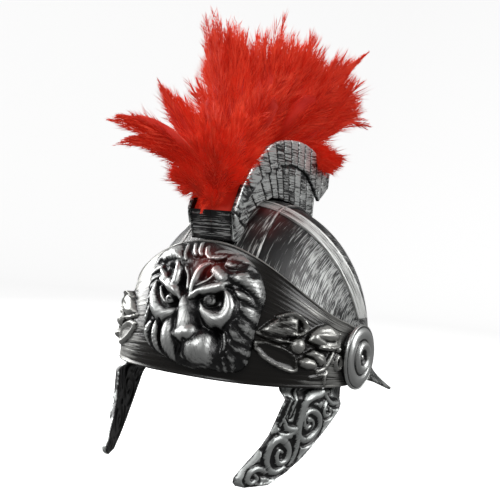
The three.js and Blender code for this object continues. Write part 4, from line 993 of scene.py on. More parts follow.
BLADE_OUTLINE = [
    # down, back
    (66, -26), (75, -21.5), (84, -16), (94, -10.3), (104, -7.8), (113, -7), (123, -6.3),
    (130.5, -5.2), (133, -3), (133, 0.5), (129.5, 6), (117, 17.6), (100, 23), (83, 25.5),
    (64, 26.2), (46, 25.6), (28, 24.2), (12, 22.5),
]
SCROLLS = [
    [(33, 6, 3.0, 2.0), (41.3, -1.1, 4.2, 3.2), (50.5, -7.8, 4.4, 3.6), (59.7, -10.3, 4.2, 3.6),
     (67.0, -5.4, 3.8, 3.4), (73.9, 1.5, 3.8, 3.4), (77.5, 8.3, 3.4, 3.2), (74.1, 15.8, 3.2, 3.0),
     (65.8, 19.3, 3, 3.0), (57.7, 17.6, 3, 3.0), (54.5, 10.1, 3, 3.0), (57.5, 1.9, 2.8, 2.9),
     (63.2, -1.5, 2.4, 2.8), (68.1, 1.4, 2.2, 2.7), (68.8, 8.6, 2, 2.6), (64.9, 10.0, 1.6, 2.5)],
    [(107.9, 2.3, 3, 2.8), (104.4, -1.9, 3.4, 3.0), (98.6, -5.2, 3.6, 3.2), (91.1, -3.3, 3.6, 3.2),
     (88.3, 5.6, 3.4, 3.0), (90.9, 12.5, 3, 3.0), (96.3, 14.6, 2.8, 2.9), (100.9, 11.4, 2.4, 2.7),
     (100.0, 6.2, 2, 2.6), (96.0, 3.6, 1.8, 2.4), (94.4, 7.0, 1.5, 2.3)],
    [(107.9, 2.3, 3, 2.6), (109.4, 8.9, 3.2, 2.6), (106.2, 15.1, 2.6, 2.4), (98.6, 18.5, 2, 2.0)],
    [(78.3, 7.4, 3, 3.0), (82.5, 13.6, 2.8, 2.8), (88.9, 18.4, 2.4, 2.4), (94.6, 19.6, 1.8, 2.0)],
    [(81.4, -13.1, 1.2, 2.4), (82.9, -6.0, 2.8, 3.2), (77.7, 1.0, 3, 3.2)],
    [(89.4, -6.8, 1.4, 2.2), (85.3, -1.3, 2.4, 3.0), (78.4, 2.1, 2.8, 3.2)],
    [(94.9, -7.3, 1.2, 1.8), (89.2, -4.0, 2.2, 2.8), (83.5, 2.0, 2.4, 3.0)],
    [(36.0, 0.0, 2.2, 2.4), (38.5, 5.7, 2.4, 2.8), (37.8, 13.7, 2.6, 2.8), (32.0, 19.5, 2.2, 2.4)],
    [(42.4, 8.9, 2, 2.4), (48.1, 10.4, 2, 2.6), (49.3, 15.5, 2, 2.6), (44.3, 18.9, 1.8, 2.4),
     (41.7, 15.1, 1.6, 2.2)],
    [(112.6, 7.3, 2.6, 2.4), (116.0, 1.0, 2.8, 2.6), (122.1, -1.0, 2.6, 2.6), (126.2, 1.8, 2.4, 2.4),
     (124.6, 6.0, 2, 2.2), (119.8, 7.0, 1.8, 2.2), (119.9, 3.0, 1.6, 2.0)],
    [(70.0, -22.0, 1.2, 1.4), (78.1, -16.5, 1.5, 1.8), (86.5, -11.8, 1.2, 1.4)],
    [(57.0, -20.0, 1.2, 1.2), (66.0, -18.0, 1.6, 1.8), (76.5, -11.0, 1.2, 1.4)],
]


def guard_yz(down, back):
    """From places down a blade and back across it to y and z."""
    return (PIVOT_Y + down * DOWN_Y - back * DOWN_Z, PIVOT_Z + down * DOWN_Z + back * DOWN_Y)


def guard_places(y, z):
    down = (y - PIVOT_Y) * DOWN_Y + (z - PIVOT_Z) * DOWN_Z
    back = -(y - PIVOT_Y) * DOWN_Z + (z - PIVOT_Z) * DOWN_Y
    return down, back


def guard_x(y, z):
    """How far out a guard's blade lies. It leans in towards its tip, its front corner tucks in
    under the band, and its ear follows the lean of the rosette."""
    down, back = guard_places(y, z)
    share = np.maximum(0, down) / GUARD_LONG
    blade = GUARD_TOP_X - GUARD_LEAN_IN * share ** 1.2 + 0.3 * back * share
    tuck = (3.6 + 5 * ramp(-66, -88, y)) * ramp(-10, -2, z) * ramp(-46, -60, y)
    ear = EAR_X + math.tan(LEAN) * (y - PIVOT_Y)
    return mix(ear, blade - tuck, np.maximum(ramp(-3, -22, z), ramp(-46, -60, y)))


def dense_ring(outline, pitch):
    """A closed outline with a point about every pitch."""
    ring = []
    for p, q in zip(outline, np.roll(outline, -1, axis=0)):
        count = max(1, int(np.hypot(*(q - p)) / pitch))
        ring.extend(mix(p, q, k / count) for k in range(count))
    return np.array(ring)


def counter_clockwise(outline):
    outline = np.array(outline, float)
    a, b = outline.T
    area = np.sum(a * np.roll(b, -1) - np.roll(a, -1) * b)
    return outline[::-1] if area < 0 else outline


def cut_sheet(outline, pitch):
    """Triangles that fill a closed outline; the first points are those of its rim."""
    ring = dense_ring(outline, pitch)
    low, high = ring.min(0), ring.max(0)
    a, b = np.meshgrid(np.arange(low[0], high[0], pitch), np.arange(low[1], high[1], pitch),
                       indexing="ij")
    b = b + (np.arange(a.shape[0]) % 2)[:, None] * pitch / 2
    places = np.stack([a.ravel(), b.ravel()], -1)
    places = places[outline_distance(places[:, 0], places[:, 1], outline) > 0.6 * pitch]
    corners = [Vector(p) for p in np.concatenate([ring, places])]
    edges = [(k, (k + 1) % len(ring)) for k in range(len(ring))]
    points, _, faces, _, _, _ = delaunay_2d_cdt(corners, edges, [], 1, 1e-6)
    return np.array([tuple(p) for p in points]), np.array([f[:3] for f in faces]), len(ring)


def plate_chunks(front, rear, faces, rim, wear_and_light, grain, rim_wear):
    """A closed plate from one cut sheet: its front, its rear in the second look, and its rim."""
    n = len(front)
    body, grain = np.concatenate([front, rear]), np.concatenate([grain, grain])
    k = np.arange(rim)
    m = (k + 1) % rim
    corner = front[faces[0]]
    flip = np.cross(corner[1] - corner[0], corner[2] - corner[0])[0] < 0
    return [chunk(body, faces, wear_and_light, grain, 0, flip),
            chunk(body, faces[:, ::-1] + n, wear_and_light, grain, 1, flip),
            chunk(body, np.stack([k, m, m + n, k + n], -1), rim_wear, grain, 0, not flip)]


def guard_relief():
    """Scrolls in black moats sunk into the plain field of the blade, over (down, back)."""
    relief = Relief((-22, -34), (140, 34), 0.34, floor=-9)
    relief.strokes([[(a, b, r, -1.0) for a, b, r, _ in row] for row in SCROLLS], skirt=1.0,
                   widen=1.65, base=-9, power=0.02)
    moat = soften((relief.h > -4).astype(float), 1.4)
    relief.h = 1.7 * (1 - moat)
    relief.strokes(SCROLLS, skirt=1.0, widen=0.86, power=0.45)
    solid = relief.h > 0.9
    relief.h = soften(relief.h, 1.0)
    return relief, soften(moat * ~solid, 0.8)


def guard_chunks(side):
    ear = [(PIVOT_Y + EAR_R * math.cos(t), PIVOT_Z + EAR_R * math.sin(t))
           for t in np.linspace(math.radians(-49), math.radians(215.7), 40)]
    top = [(-34.5, -4.5), (-52.5, -4.5), (-55, 2), (-87, 2)]
    outline = counter_clockwise(ear + top + [guard_yz(d, b) for d, b in BLADE_OUTLINE])
    sheet, faces, rim = cut_sheet(outline, 0.80)
    y, z = sheet.T
    edge = outline_distance(y, z, outline)
    down, back = guard_places(y, z)
    relief, moat = guard_relief()
    # The relief starts below the ear, which the band hides.
    fade = ramp(24, 31, down)
    raised = relief.at(relief.h, down, back)
    proud = relief.at(relief.proud(1.2, 3.6, 0.34, 0.16), down, back)
    height = (raised + 0.9 * ridge(edge, 1.6, 1.2)) * fade
    height = height * ramp(-0.4, 1.4, edge) - 0.9 * ramp(0.9, 0.0, edge)
    x = guard_x(y, z)
    front = np.stack([x + height, y, z], -1)
    sunk = 0.5 * ramp(0.9, 0.0, edge) + 0.45 * raised * fade * ramp(1.5, 4, edge)
    rear = np.stack([x - GUARD_WALL + sunk, y, z], -1)
    deep = relief.at(moat, down, back) * fade
    wear_and_light = 0.50 + proud * fade - 0.46 * deep + 0.08 * ramp(3.0, 1.0, edge) * fade
    wear_and_light = np.concatenate([np.clip(wear_and_light, 0, 1), 0.10 + 0.12 * ramp(0.3, 1.5, raised)])
    pieces = plate_chunks(front, rear, faces, rim, wear_and_light, np.stack([down, back, height], -1), 0.45)
    return pieces if side > 0 else [mirrored(p) for p in pieces]


# Crest holder: two plank-sided halves, each a broad lower wall and a curved strip over it.

CREST_FRONT = [(-91, 98.9), (-98, 120.4)]
CREST_TOP = [
    # y, z
    (-98, 120.4), (-90, 138), (-76, 156.2), (-62, 168.6), (-47, 178), (-28, 184.6), (-11, 188),
    (6, 190), (23, 190.3), (40, 188.6), (57, 184.8), (73, 178.9), (87.8, 172.9),
]
STRIP_BORDER = [
    (-96, 104), (-86, 118), (-75, 132), (-66.8, 142.3), (-56.5, 151.6), (-41.8, 157.7),
    (-26, 164.3), (-7.8, 168.4), (8, 168.8), (25, 167.3), (36, 164), (48.3, 158.2), (67, 145.4),
]
CREST_ARCH = [
    (8.4, 120), (8.4, 136), (-9.5, 139.2), (-30, 138), (-51.5, 130.8), (-67.5, 119.8),
    (-74.4, 104.7), (-77, 98.9),
]
# Outer faces of the wall and the strip, thickness of the plates, half the seam, and the depth
# and half-width of the channel that holds the feathers.
WALL_X, STRIP_X, PLATE, END_PLATE, SEAM = 18.0, 20.5, 2.2, 2.4, 0.15
FLOOR_DEPTH, FLOOR_X = 16.0, 17.5
# How far the crest stays over the dome: a strap's thickness, its gap and a little more.
DOME_CLEAR = 2.4
PITS = [(-90, 118), (-12, 163), (43, 161), (62, 153)]


def along(line, y):
    """The height of a line of (y, z) places at y."""
    line = np.asarray(line, float)
    return np.interp(y, line[:, 0], line[:, 1])


def stepped_border():
    """The strip's lower edge, cut in steps over the front and smooth behind."""
    step = 13.5
    points = []
    for y in np.arange(-93, -12, step):
        points.append((y + 0.2, along(STRIP_BORDER, y) + 1.4))
        points.append((y + step - 0.2, along(STRIP_BORDER, y + step) - 1.4))
    return points + [p for p in STRIP_BORDER if p[0] > -9]


def plank_lean(y):
    """The lean of a joint between planks, which grows towards the front."""
    return np.radians(6 + 43 * ((45 - y) / 120) ** 2)


def plank_share(y, z):
    """The number of the plank that a place is on, and its distance from the nearest joint."""
    offs = []
    for joint in np.arange(-99, 100, 15.0):
        lean, top = plank_lean(joint), along(CREST_TOP, joint)
        offs.append((y - joint) * math.cos(lean) + (z - top) * math.sin(lean))
    offs = np.array(offs)
    return (offs > 0).sum(0), np.abs(offs).min(0)


def dome_height(x, y, clear):
    """Height of the dome plus a clearance, or nothing outside it."""
    inside = 1 - (y / (DOME_B + clear)) ** 2 - (x / (DOME_A + clear)) ** 2
    height = DOME_Z + (DOME_C + clear) * np.sqrt(np.clip(inside, 0, None))
    return np.where(inside > 0, height, -FAR)


def clear_of_dome(outline, inner_x):
    """Points of an outline under the dome's straps are lifted to just over them."""
    ring = dense_ring(outline, 1.5)
    ring[:, 1] = np.maximum(ring[:, 1], dome_height(inner_x, ring[:, 0], DOME_CLEAR))
    keep = [0]
    for k in range(1, len(ring)):
        if np.hypot(*(ring[k] - ring[keep[-1]])) > 0.3:
            keep.append(k)
    return ring[keep]


def crest_sheet(outline, outer_x, inner_x, tones):
    """A plank-sided sheet; tones are the planks' own, lighter or darker."""
    outline = counter_clockwise(clear_of_dome(outline, inner_x))
    sheet, faces, rim = cut_sheet(outline, 0.95)
    y, z = sheet.T
    edge = outline_distance(y, z, outline)
    plank, joint = plank_share(y, z)
    groove = ridge(joint, 0, 0.85)
    crown = 0.22 * np.sqrt(np.clip(joint / 7.5, 0, 1))
    scar = 0.16 * np.sin(1.9 * z + 2.2 * np.sin(0.7 * y + plank) + 4.1 * plank)
    scar = scar * (0.5 + 0.5 * np.sin(0.31 * z + 1.7 * plank))
    pit = sum(1.3 * hill(y, z, pit_y, pit_z, 1.4, 2.4) for pit_y, pit_z in PITS)
    height = crown + scar - groove - pit - 0.7 * ramp(1.1, 0.0, edge)
    front = np.stack([outer_x + height, y, z], -1)
    rear = np.stack([np.full_like(y, inner_x), y, z], -1)
    wear_and_light = 0.49 + tones[plank] + 0.5 * scar - 0.9 * groove - 0.5 * pit
    # Painted shade: a dark line along the strip's stepped lower edge, on the strip and most of all on
    # the wall under it, where the proud strip shades the wall; the strip's own edges are made brighter.
    border = outline_distance(y, z, np.array(stepped_border() + stepped_border()[::-1]))
    if outer_x == STRIP_X:
        wear_and_light = wear_and_light + 0.20 * ramp(2.0, 0.5, edge) - 0.5 * ramp(0.9, 0.2, border)
    else:
        wear_and_light = wear_and_light - 0.75 * ramp(2.2, 0.6, border)
    wear_and_light = np.clip(np.concatenate([wear_and_light, np.full(len(sheet), 0.15)]), 0, 1)
    # Strokes run across the planks, and each plank has its own place in the grain.
    lean = plank_lean(y)
    grain = np.stack([y * np.cos(lean) + z * np.sin(lean) + 40 * plank,
                      z * np.cos(lean) - y * np.sin(lean) + 17 * plank, height * 2], -1)
    return plate_chunks(front, rear, faces, rim, wear_and_light, grain, 0.35)


def crest_chunks(side):
    tones = np.random.default_rng(31).uniform(-0.10, 0.10, 20)
    strip = np.array(CREST_TOP + [(87.5, 159.9)] + stepped_border()[::-1], float)
    wall_top = [(y, min(z, along(STRIP_BORDER, y) + 7)) for y, z in CREST_TOP[1:] if y < 58]
    lower = np.array(CREST_FRONT + wall_top + [(61, 155), (61, 105)] + CREST_ARCH, float)
    floor = [(-94.5, 112)] + [(y, z - FLOOR_DEPTH) for y, z in CREST_TOP[1:-1]] + [(85.5, 157.6)]
    made = crest_sheet(strip, STRIP_X, WALL_X - 0.8, tones)
    made += crest_sheet(lower, WALL_X, WALL_X - PLATE, tones)
    made.append(plate_chunk(floor, PLATE, FLOOR_X, (0, -1)))
    made.append(plate_chunk(CREST_FRONT, END_PLATE, FLOOR_X, (1, 0), 0.14))
    made.append(rear_plate())
    made.append(plate_chunk([(87.4, 159.8), (87.6, 171)], END_PLATE, WALL_X, (-1, 0)))
    return made if side > 0 else [mirrored(p) for p in made]


def plate_chunk(line, thick, outer_x, offset, tone=0.40):
    """A plate that follows a line in the side view, from the seam out to outer_x."""
    line = np.array(line, float)
    fine = np.concatenate([mix(line[:-1], line[1:], t) for t in (0.0, 0.34, 0.67)] + [line[-1:]])
    fine = fine[np.argsort(fine[:, 0] * abs(offset[1]) + fine[:, 1] * abs(offset[0]))]
    under = fine + np.array(offset) * thick
    ring = np.concatenate([fine, under[::-1]])
    n = len(ring)
    points = np.concatenate([np.c_[np.full(n, x), ring] for x in (SEAM, outer_x)])
    k = np.arange(n)
    m = (k + 1) % n
    sides = np.stack([k, m, m + n, k + n], -1)
    near = np.arange(len(fine) - 1)
    far = n - 1 - near
    caps = np.stack([near, far, far - 1, near + 1], -1)
    faces = np.concatenate([sides, caps, caps[:, ::-1] + n])
    return chunk(points, faces, tone, points * (1, 1.4, 1))


def rear_plate():
    """Closes the crest's rear under its strip, cut to the dome."""
    front, rear = 58.8, 61.0
    x = np.linspace(SEAM, FLOOR_X, 14)
    top = np.full_like(x, 166.0)
    corners = [(front, dome_height(x, front, DOME_CLEAR)), (front, top), (rear, top),
               (rear, dome_height(x, rear, DOME_CLEAR))]
    points = np.stack([np.stack([x, np.full_like(x, y), z], -1)
                       for y, z in corners + corners[:1]], 1)
    ends = np.array([(0, 1, 2, 3), (65, 68, 67, 66)])
    faces = np.concatenate([grid_faces(len(x), 5), ends])
    return chunk(points, faces, 0.34, points * (1, 1, 1.4), flip=True)


# Plume.

LOCKS = [
    # root, x, y, z, thick, bulge
    (-88, -45, -176, 169, 10, 40), (-91, -42, -167, 155, 6, 42), (-86, -43, -121, 211, 12, 8),
    (-82, -34, -108, 202, 17, 2), (-93, -20, -120, 142, 12, 12), (-90, 8, -122, 170, 18, 6),
    (-74, -32, -60, 275, 15, 0), (-66, -22, -45, 268, 21, 0), (-50, -14, -29, 262, 22, 0),
    (-36, -2, -20, 272, 22, 0), (-20, 8, -8, 277, 22, 0), (0, 20, 16, 270, 22, 2),
    (16, 30, 46, 265, 22, 6), (30, 50, 87, 289, 5, 34), (34, 40, 50, 250, 19, 4),
    (44, 42, 76, 238, 15, 8), (42, 48, 103, 221, 6, 46), (60, 26, 56, 190, 9, 8),
    (66, 34, 68, 182, 10, 14), (72, -8, 100, 210, 15, 12), (50, -34, 96, 240, 20, 10),
    (20, -46, 52, 256, 22, 6), (-15, -48, 8, 258, 22, 4), (-50, -50, -34, 244, 20, 4),
    (-60, 34, -70, 220, 19, 8), (-10, 44, -8, 232, 20, 10), (-60, -34, -70, 220, 18, 8),
    (60, 0, 84, 250, 16, 8), (-5, 0, 10, 262, 20, 2), (-88, 8, -104, 176, 15, 2),
    (-80, 14, -86, 194, 15, 2), (-90, -10, -106, 168, 15, 2), (-72, 16, -70, 206, 16, 2),
    (-84, -14, -92, 196, 15, 2), (56, 27, 58, 178, 11, 16), (66, 31, 68, 175, 11, 18),
    (-88, 16, -92, 152, 11, 6), (-78, 19, -78, 168, 11, 6), (-68, 20, -66, 178, 10, 6),
    (-92, -6, -103, 117, 5, 16), (-90, -21, -99, 136, 9, 8),
]
# Locks that end in a point; the others end broad and ragged.
POINTED = (0, 1, 2, 3, 4, 13, 17, 18)


def bed_rows():
    """Short upright locks that fill the crest's channel from wall to wall."""
    rows = []
    for y in (*np.linspace(-94, -56, 12), *np.linspace(-52, 83, 18)):
        slope = (along(CREST_TOP, y + 1) - along(CREST_TOP, y - 1)) / 2
        off = (13 + 3 * math.sin(1.7 * y)) / math.hypot(slope, 1)
        for x in (-11.0, 0.0, 11.0):
            rows.append((y, x, y - off * slope, along(CREST_TOP, y) + off, 7, 3))
    return rows


def lock_curve(row):
    """A lock's root, the control place that bends it, and its tip."""
    root_y, x, y, z, _, bulge = row
    root = np.array([0, root_y, along(CREST_TOP, root_y) - 8])
    tip = np.array([x, y, z], float)
    return root, mix(root, tip, 0.55) + np.array([0.12 * x, 0, bulge]), tip


def bezier(root, middle, tip, t):
    t = np.asarray(t)[..., None]
    return (1 - t) ** 2 * root + 2 * t * (1 - t) * middle + t * t * tip


def lock_tone(row):
    """Locks differ a little, and those that reach back are deeper red."""
    return 0.09 * math.sin(2.4 * row[1] + row[3]) - 0.10 * float(ramp(30, 100, row[2]))


def core_chunks():
    """A dense inner mass under the loose barbs, so that no light shows through."""
    made = []
    sides, rows = 14, 14
    t = np.linspace(0.10, 0.80, rows)
    swell = np.interp(t, [0.1, 0.14, 0.3, 0.5, 0.7, 0.8], [0, 0.5, 0.9, 1, 0.7, 0])
    a = 2 * np.pi * np.arange(sides)[:, None] / sides
    for row in LOCKS:
        line = bezier(*lock_curve(row), t)
        run = unit(np.gradient(line, axis=0))
        across = unit(np.cross(run, np.array([0.2, 0.1, 1.0])))
        lift = np.cross(across, run)
        # On the wearer's left, the camera's side, cores are slimmer, so that none shows.
        share = 0.42 if row[1] > 25 else 0.52
        radius = share * row[4] * swell * (1 + 0.14 * np.sin(3 * a + 9 * t + row[1]))
        points = (line[None] + across[None] * (radius * np.cos(a))[..., None]
                  + lift[None] * (radius * np.sin(a))[..., None])
        x, y, z = np.moveaxis(points, -1, 0)
        top = along(CREST_TOP, y)
        z = np.where(np.abs(y) < 96, np.maximum(z, top - 9), z)
        low = (z < top + 3) & (np.abs(y) < CREST_REACH)
        x = np.where(low, np.clip(x, -12, 12), x)
        made.append(chunk(np.stack([x, y, z], -1), grid_faces(sides, rows, wrap=True), 0.05))
    return made + [bed_chunk()]


def bed_chunk():
    """The feathers' closed bed, from wall to wall of the crest's channel."""
    front, rear, half = -95.0, 84.4, 15.2
    y = np.concatenate([[front], np.linspace(front, rear, 90), [rear]])
    top = along(CREST_TOP, y)
    x = np.linspace(-half, half, 14)[:, None]
    upper = -4.5 - 1.5 * (x / 15) ** 2 + 0.9 * np.sin(0.9 * y + 1.3 * x) * np.sin(0.31 * y)
    rise = np.concatenate([upper, np.full((2, len(y)), -half)])
    across = np.concatenate([x, [[half], [-half]]])
    points = np.stack([across + 0 * y, y + 0 * rise, top + rise], -1)
    points[:, 0] = (0, y[0], top[0] - 10)
    points[:, -1] = (0, y[-1], top[-1] - 10)
    return chunk(points, grid_faces(len(across), len(y), wrap=True), 0.12)


def wander(rng, t, size, waves=(1, 4)):
    """A slow random wave along t, three sines added up."""
    total = 0
    for _ in range(3):
        total = total + rng.normal() * np.sin(rng.uniform(*waves) * np.pi * t + rng.uniform(0, 7))
    return size * total / 1.7


def feather_line(rng, row, pointed, t):
    """A quill along its lock, off the lock's middle by a random offset."""
    thick = row[4]
    reach, start = rng.uniform(0.72, 1.0), max(0.0, rng.uniform(-0.15, 0.42))
    offset = rng.normal(0, 1, 3)
    offset = offset / np.linalg.norm(offset) * thick * 0.66 * rng.uniform(0.05, 1) ** 0.5
    axis = bezier(*lock_curve(row), np.array([start, (start + reach) / 2, reach]))
    base = axis[0] + offset * 0.5 * min(1, 3 * start)
    if start < 0.1:
        base[0] = np.clip(base[0], -9, 9)
    line = bezier(base, axis[1] + offset, axis[2] + offset * (0.30 if pointed else 1.0), t)
    return line, offset


def vane(rng, row, pointed, barbs):
    """One feather: its quill's line and its barbs' lines. Barbs next to one another lie nearly
    the same way, so that a feather keeps its vane."""
    t = np.linspace(0, 1, barbs)
    thick = row[4]
    line, offset = feather_line(rng, row, pointed, t)
    run = unit(np.gradient(line, axis=0))
    side = unit(np.cross(run, unit(offset + 0.8 * rng.normal(0, 1, 3) * thick / 10)))
    lift = np.cross(side, run)
    twist = (wander(rng, t, 0.5, (0.5, 2)) + rng.normal(0, 0.3))[:, None]
    side, lift = (side * np.cos(twist) + lift * np.sin(twist),
                  lift * np.cos(twist) - side * np.sin(twist))
    half = (0.62 * thick + 0.6 * min(thick, 10)) * rng.uniform(0.8, 1.25)
    length = half * (0.45 + 0.55 * np.sin(np.pi * t ** 0.7))
    length = length * (1 - (0.5 if pointed else 0.1) * ramp(0.7, 1.0, t))
    tone = rng.uniform(-0.15, 0.15) + lock_tone(row)
    clump = np.repeat(rng.normal(0, 1, (barbs // 4 + 1, 3)), 4, 0)[:barbs]
    lines = []
    for sign in (-1, 1):
        spread = np.radians(mix(52, 22, t) + wander(rng, t, 8))[:, None]
        tilt = (wander(rng, t, 0.30) + 0.10)[:, None]
        loose = rng.normal(0, 0.10, (barbs, 3)) + 0.13 * clump
        away = unit(run * np.cos(spread) + sign * side * np.sin(spread) + lift * tilt + loose)
        bow = (0.52 * run - 0.30 * sign * side + lift * wander(rng, t, 0.20)[:, None]
               + np.array([0, 0, -0.10]) + 0.16 * clump * sign)
        long = (length * rng.uniform(0.72, 1.15, barbs))[:, None]
        lines.append(np.stack([line + long * (s * away + s * s * bow * 0.75)
                               for s in (0, 0.36, 0.72, 1.0)], 1))
    return line, np.concatenate(lines), tone


def barb_chunks(rng, lines, tone):
    """Each barb is a ribbon of two quads and a triangle that turns its flat side outwards."""
    n = len(lines)
    run = unit(np.diff(lines, axis=1))
    run = np.concatenate([run[:, :1], run], 1)
    out = unit(unit(lines - np.array([0, -6, 196.0])) + 0.35 * rng.normal(0, 1, (n, 1, 3)))
    flat = unit(np.cross(run, out))
    half_width = np.array([0.23, 0.28, 0.19, 0.0])[None, :, None]
    points = np.concatenate([lines + flat * half_width, (lines - flat * half_width)[:, :3]], 1)
    first = (np.arange(n) * 7)[:, None]
    quads = first[..., None] + np.array([[0, 4, 5, 1], [1, 5, 6, 2]])
    # Deep red at the quill, lighter towards the tip.
    share = np.array([0.12, 0.42, 0.66, 0.80, 0.12, 0.42, 0.66])
    wear_and_light = np.clip(share + tone[:, None] + rng.uniform(-0.05, 0.05, n)[:, None], 0, 1)
    points = keep_clear(points.reshape(-1, 3))
    return [chunk(points, quads.reshape(-1, 4), wear_and_light),
            chunk(points, first + np.array([[2, 6, 3]]), wear_and_light)]


def quill_chunk(line, tone):
    run = unit(np.gradient(line, axis=0))
    side = unit(np.cross(run, np.array([0.3, 0.2, 1.0])))
    lift = np.cross(side, run)
    r = 0.38 * np.linspace(1, 0.15, len(run))[:, None]
    r[[0, -1]] = 0
    a = (2 * np.pi * np.arange(3) / 3)[:, None, None]
    tube = line + side * r * np.cos(a) + lift * r * np.sin(a)
    return chunk(keep_clear(tube.reshape(-1, 3)), grid_faces(3, len(run), wrap=True), 0.45 + tone)


def feather_chunks(rows, pointed, count, seed, barbs=45):
    """Loose feathers, more of them in thick locks."""
    rng = np.random.default_rng(seed)
    shares = np.array([row[4] + 6.0 for row in rows])
    picks = rng.choice(len(rows), count, p=shares / shares.sum())
    quills, lines, tones = zip(*[vane(rng, rows[k], pointed[k], barbs) for k in picks])
    made = barb_chunks(rng, np.concatenate(lines), np.repeat(tones, 2 * barbs))
    return made + [quill_chunk(line[::6], tone) for line, tone in zip(quills, tones)]


# Over the crest, feathers lie in its channel, on its walls or outside them.
CREST_REACH, CHANNEL_HALF, WALL_OUTSIDE = 99, 15, 21.2
# The lowest they hang before the front box, beside it and behind the crest.
FRONT_LOW, FRONT_SIDE_LOW, REAR_LOW = 110, 122, 168


def keep_clear(points):
    """Barbs stay over the crest's channel, out of its walls, off the dome and in the box."""
    x, y, z = np.abs(points[:, 0]), points[:, 1], points[:, 2]
    over = np.abs(y) < CREST_REACH
    top = along(CREST_TOP, y)
    rim = top + 1.2
    low = over & (z < rim)
    channel = low & (x < CHANNEL_HALF)
    hanging = low & (x > WALL_OUTSIDE)
    on_wall = low & ~channel & ~hanging
    ahead, behind = ~over & (y < 0), ~over & (y > 0)
    squeezed = rim + 0.25 * (rim - z).clip(0, 8)
    lowest = np.select([channel, hanging, on_wall, ahead & (x < 13), ahead, behind],
                       [top - 14, top - 13, squeezed, FRONT_LOW, FRONT_SIDE_LOW, REAR_LOW], -FAR)
    points[:, 2] = np.maximum(z, lowest)
    low_corner = np.array(cad_box[0]) / MM - np.array([4, 8, 4])
    high_corner = np.array(cad_box[1]) / MM + np.array([4, 8, 8])
    return np.clip(points, low_corner, high_corner)


# Pieces.

build("skull", skull_chunks() + [long_strap(), cross_strap()],
      [silver_dome, black_inside, silver_strap],
      "shell", ["skull_shell"])
build("band", band_chunks(), [silver_band], "shell", ["brow_band"])
build("lion", lion_chunks(), [silver_bright], "shell", ["lion_mask"], sharp=None)
for side, word in ((1, "left"), (-1, "right")):
    build("rosette_" + word + "_cap", rosette_chunks(side), [silver_bright], "shell",
          ["rosette_" + word])
    build("guard_" + word, guard_chunks(side), [silver_guard, black_inside], "cheek_" + word,
          ["cheek_guard_" + word], sharp=50)
    build("crest_" + word, crest_chunks(side), [silver_crest, black_inside], "shell",
          ["crest_half_" + word])
feather = feather_look("feather_red", (0.86, 0.090, 0.034, 1), (0.44, 0.012, 0.007, 1))
build("plume_core", core_chunks(), [feather], "shell", ["plume"], sharp=None)
# First and last lock, feathers and seed of each group.
GROUPS = [(0, 8, 200, 11), (6, 13, 200, 12), (11, 21, 200, 13), (20, 41, 250, 14)]
for index, (first, last, count, seed) in enumerate(GROUPS):
    pointed = [k in POINTED for k in range(first, last)]
    build(f"plume_feathers_{index + 1}", feather_chunks(LOCKS[first:last], pointed, count, seed),
          [feather], "shell", [], sharp=None)
bed = bed_rows()
build("plume_bed", feather_chunks(bed, [True] * len(bed), 170, 15, barbs=30), [feather], "shell",
      [], sharp=None)


# Floor, light and camera.

# The floor lies under the guards' tips at the end of their swing.
FLOOR_Z, FLOOR_RADIUS, FLOOR_BEND, FLOOR_TOP = -0.1140, 2.6, 0.9, 2.6


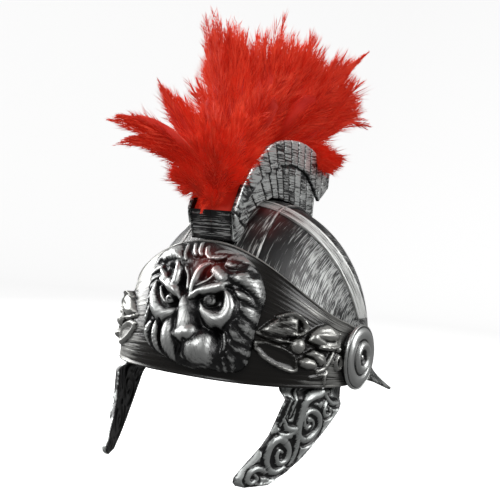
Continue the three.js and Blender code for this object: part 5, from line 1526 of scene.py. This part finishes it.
def stage_scene():
    """A round pale floor whose rim rises all the way round."""
    turns, steps = 96, 16
    profile = [(0.02, FLOOR_Z), (FLOOR_RADIUS * 0.5, FLOOR_Z), (FLOOR_RADIUS, FLOOR_Z)]
    for k in range(1, steps + 1):
        t = math.pi / 2 * k / steps
        profile.append((FLOOR_RADIUS + FLOOR_BEND * math.sin(t),
                        FLOOR_Z + FLOOR_BEND * (1 - math.cos(t))))
    profile.append((FLOOR_RADIUS + FLOOR_BEND, FLOOR_TOP))
    points = [(r * math.cos(2 * math.pi * k / turns), r * math.sin(2 * math.pi * k / turns), z)
              for k in range(turns) for r, z in profile]
    faces = grid_faces(turns, len(profile), wrap=True).tolist()
    faces.append([k * len(profile) for k in range(turns)][::-1])
    mesh = bpy.data.meshes.new("floor")
    mesh.from_pydata(points, [], faces)
    mesh.shade_smooth()
    look, tree, shader = new_look("floor_white")
    fill(tree, shader, {"Base Color": (0.93, 0.93, 0.93, 1), "Roughness": 0.9,
                        "Emission Color": (1, 1, 1, 1), "Emission Strength": 0.75})
    mesh.materials.append(look)
    floor = linked("floor", mesh)
    floor.visible_glossy = False
    floor.visible_diffuse = False


LIGHTS = [
    # name, place, target, width and height, watts
    ("left", (-1.15, -0.05, 0.55), (0, -0.02, 0.10), (1.0, 0.9), 23),
    ("right", (1.05, 0.15, 0.75), (0, -0.02, 0.10), (0.8, 0.8), 11),
    ("front", (-0.25, -1.30, 1.15), (0, 0, 0.12), (0.7, 0.6), 12),
]
WORLD_STRENGTH = 0.16


def studio_light():
    for name, place, target, size, power in LIGHTS:
        data = bpy.data.lights.new(name, "AREA")
        data.shape, data.size, data.size_y, data.energy = "RECTANGLE", *size, power
        light = linked(name, data)
        light.location = place
        light.rotation_mode = "QUATERNION"
        light.rotation_quaternion = (Vector(target) - Vector(place)).to_track_quat("-Z", "Y")
    world = bpy.data.worlds.new("studio")
    world.use_nodes = True
    fill(world.node_tree, world.node_tree.nodes["Background"],
         {"Color": (1, 1, 1, 1), "Strength": WORLD_STRENGTH})
    bpy.context.scene.world = world


# The photo's camera: where it stands, the ways right and up in its picture, and its lens.
CAMERA_PLACE = Vector((0.28040, -0.59977, 0.08968))
CAMERA_RIGHT, CAMERA_UP = (0.89450, 0.43549, 0.10105), (-0.08778, -0.05054, 0.99486)
SENSOR, LENS, NEAREST, FARTHEST = 36.0, 56.02, 0.02, 20


def photo_camera():
    right = Vector(CAMERA_RIGHT).normalized()
    back = right.cross(Vector(CAMERA_UP)).normalized()
    data = bpy.data.cameras.new("camera")
    data.sensor_width, data.lens = SENSOR, LENS
    data.clip_start, data.clip_end = NEAREST, FARTHEST
    camera = linked("camera", data)
    turn = Matrix((right, back.cross(right), back)).transposed()
    camera.matrix_world = Matrix.Translation(CAMERA_PLACE) @ turn.to_4x4()
    bpy.context.scene.camera = camera
    bpy.context.scene.view_settings.view_transform = "Standard"


stage_scene()
studio_light()
photo_camera()
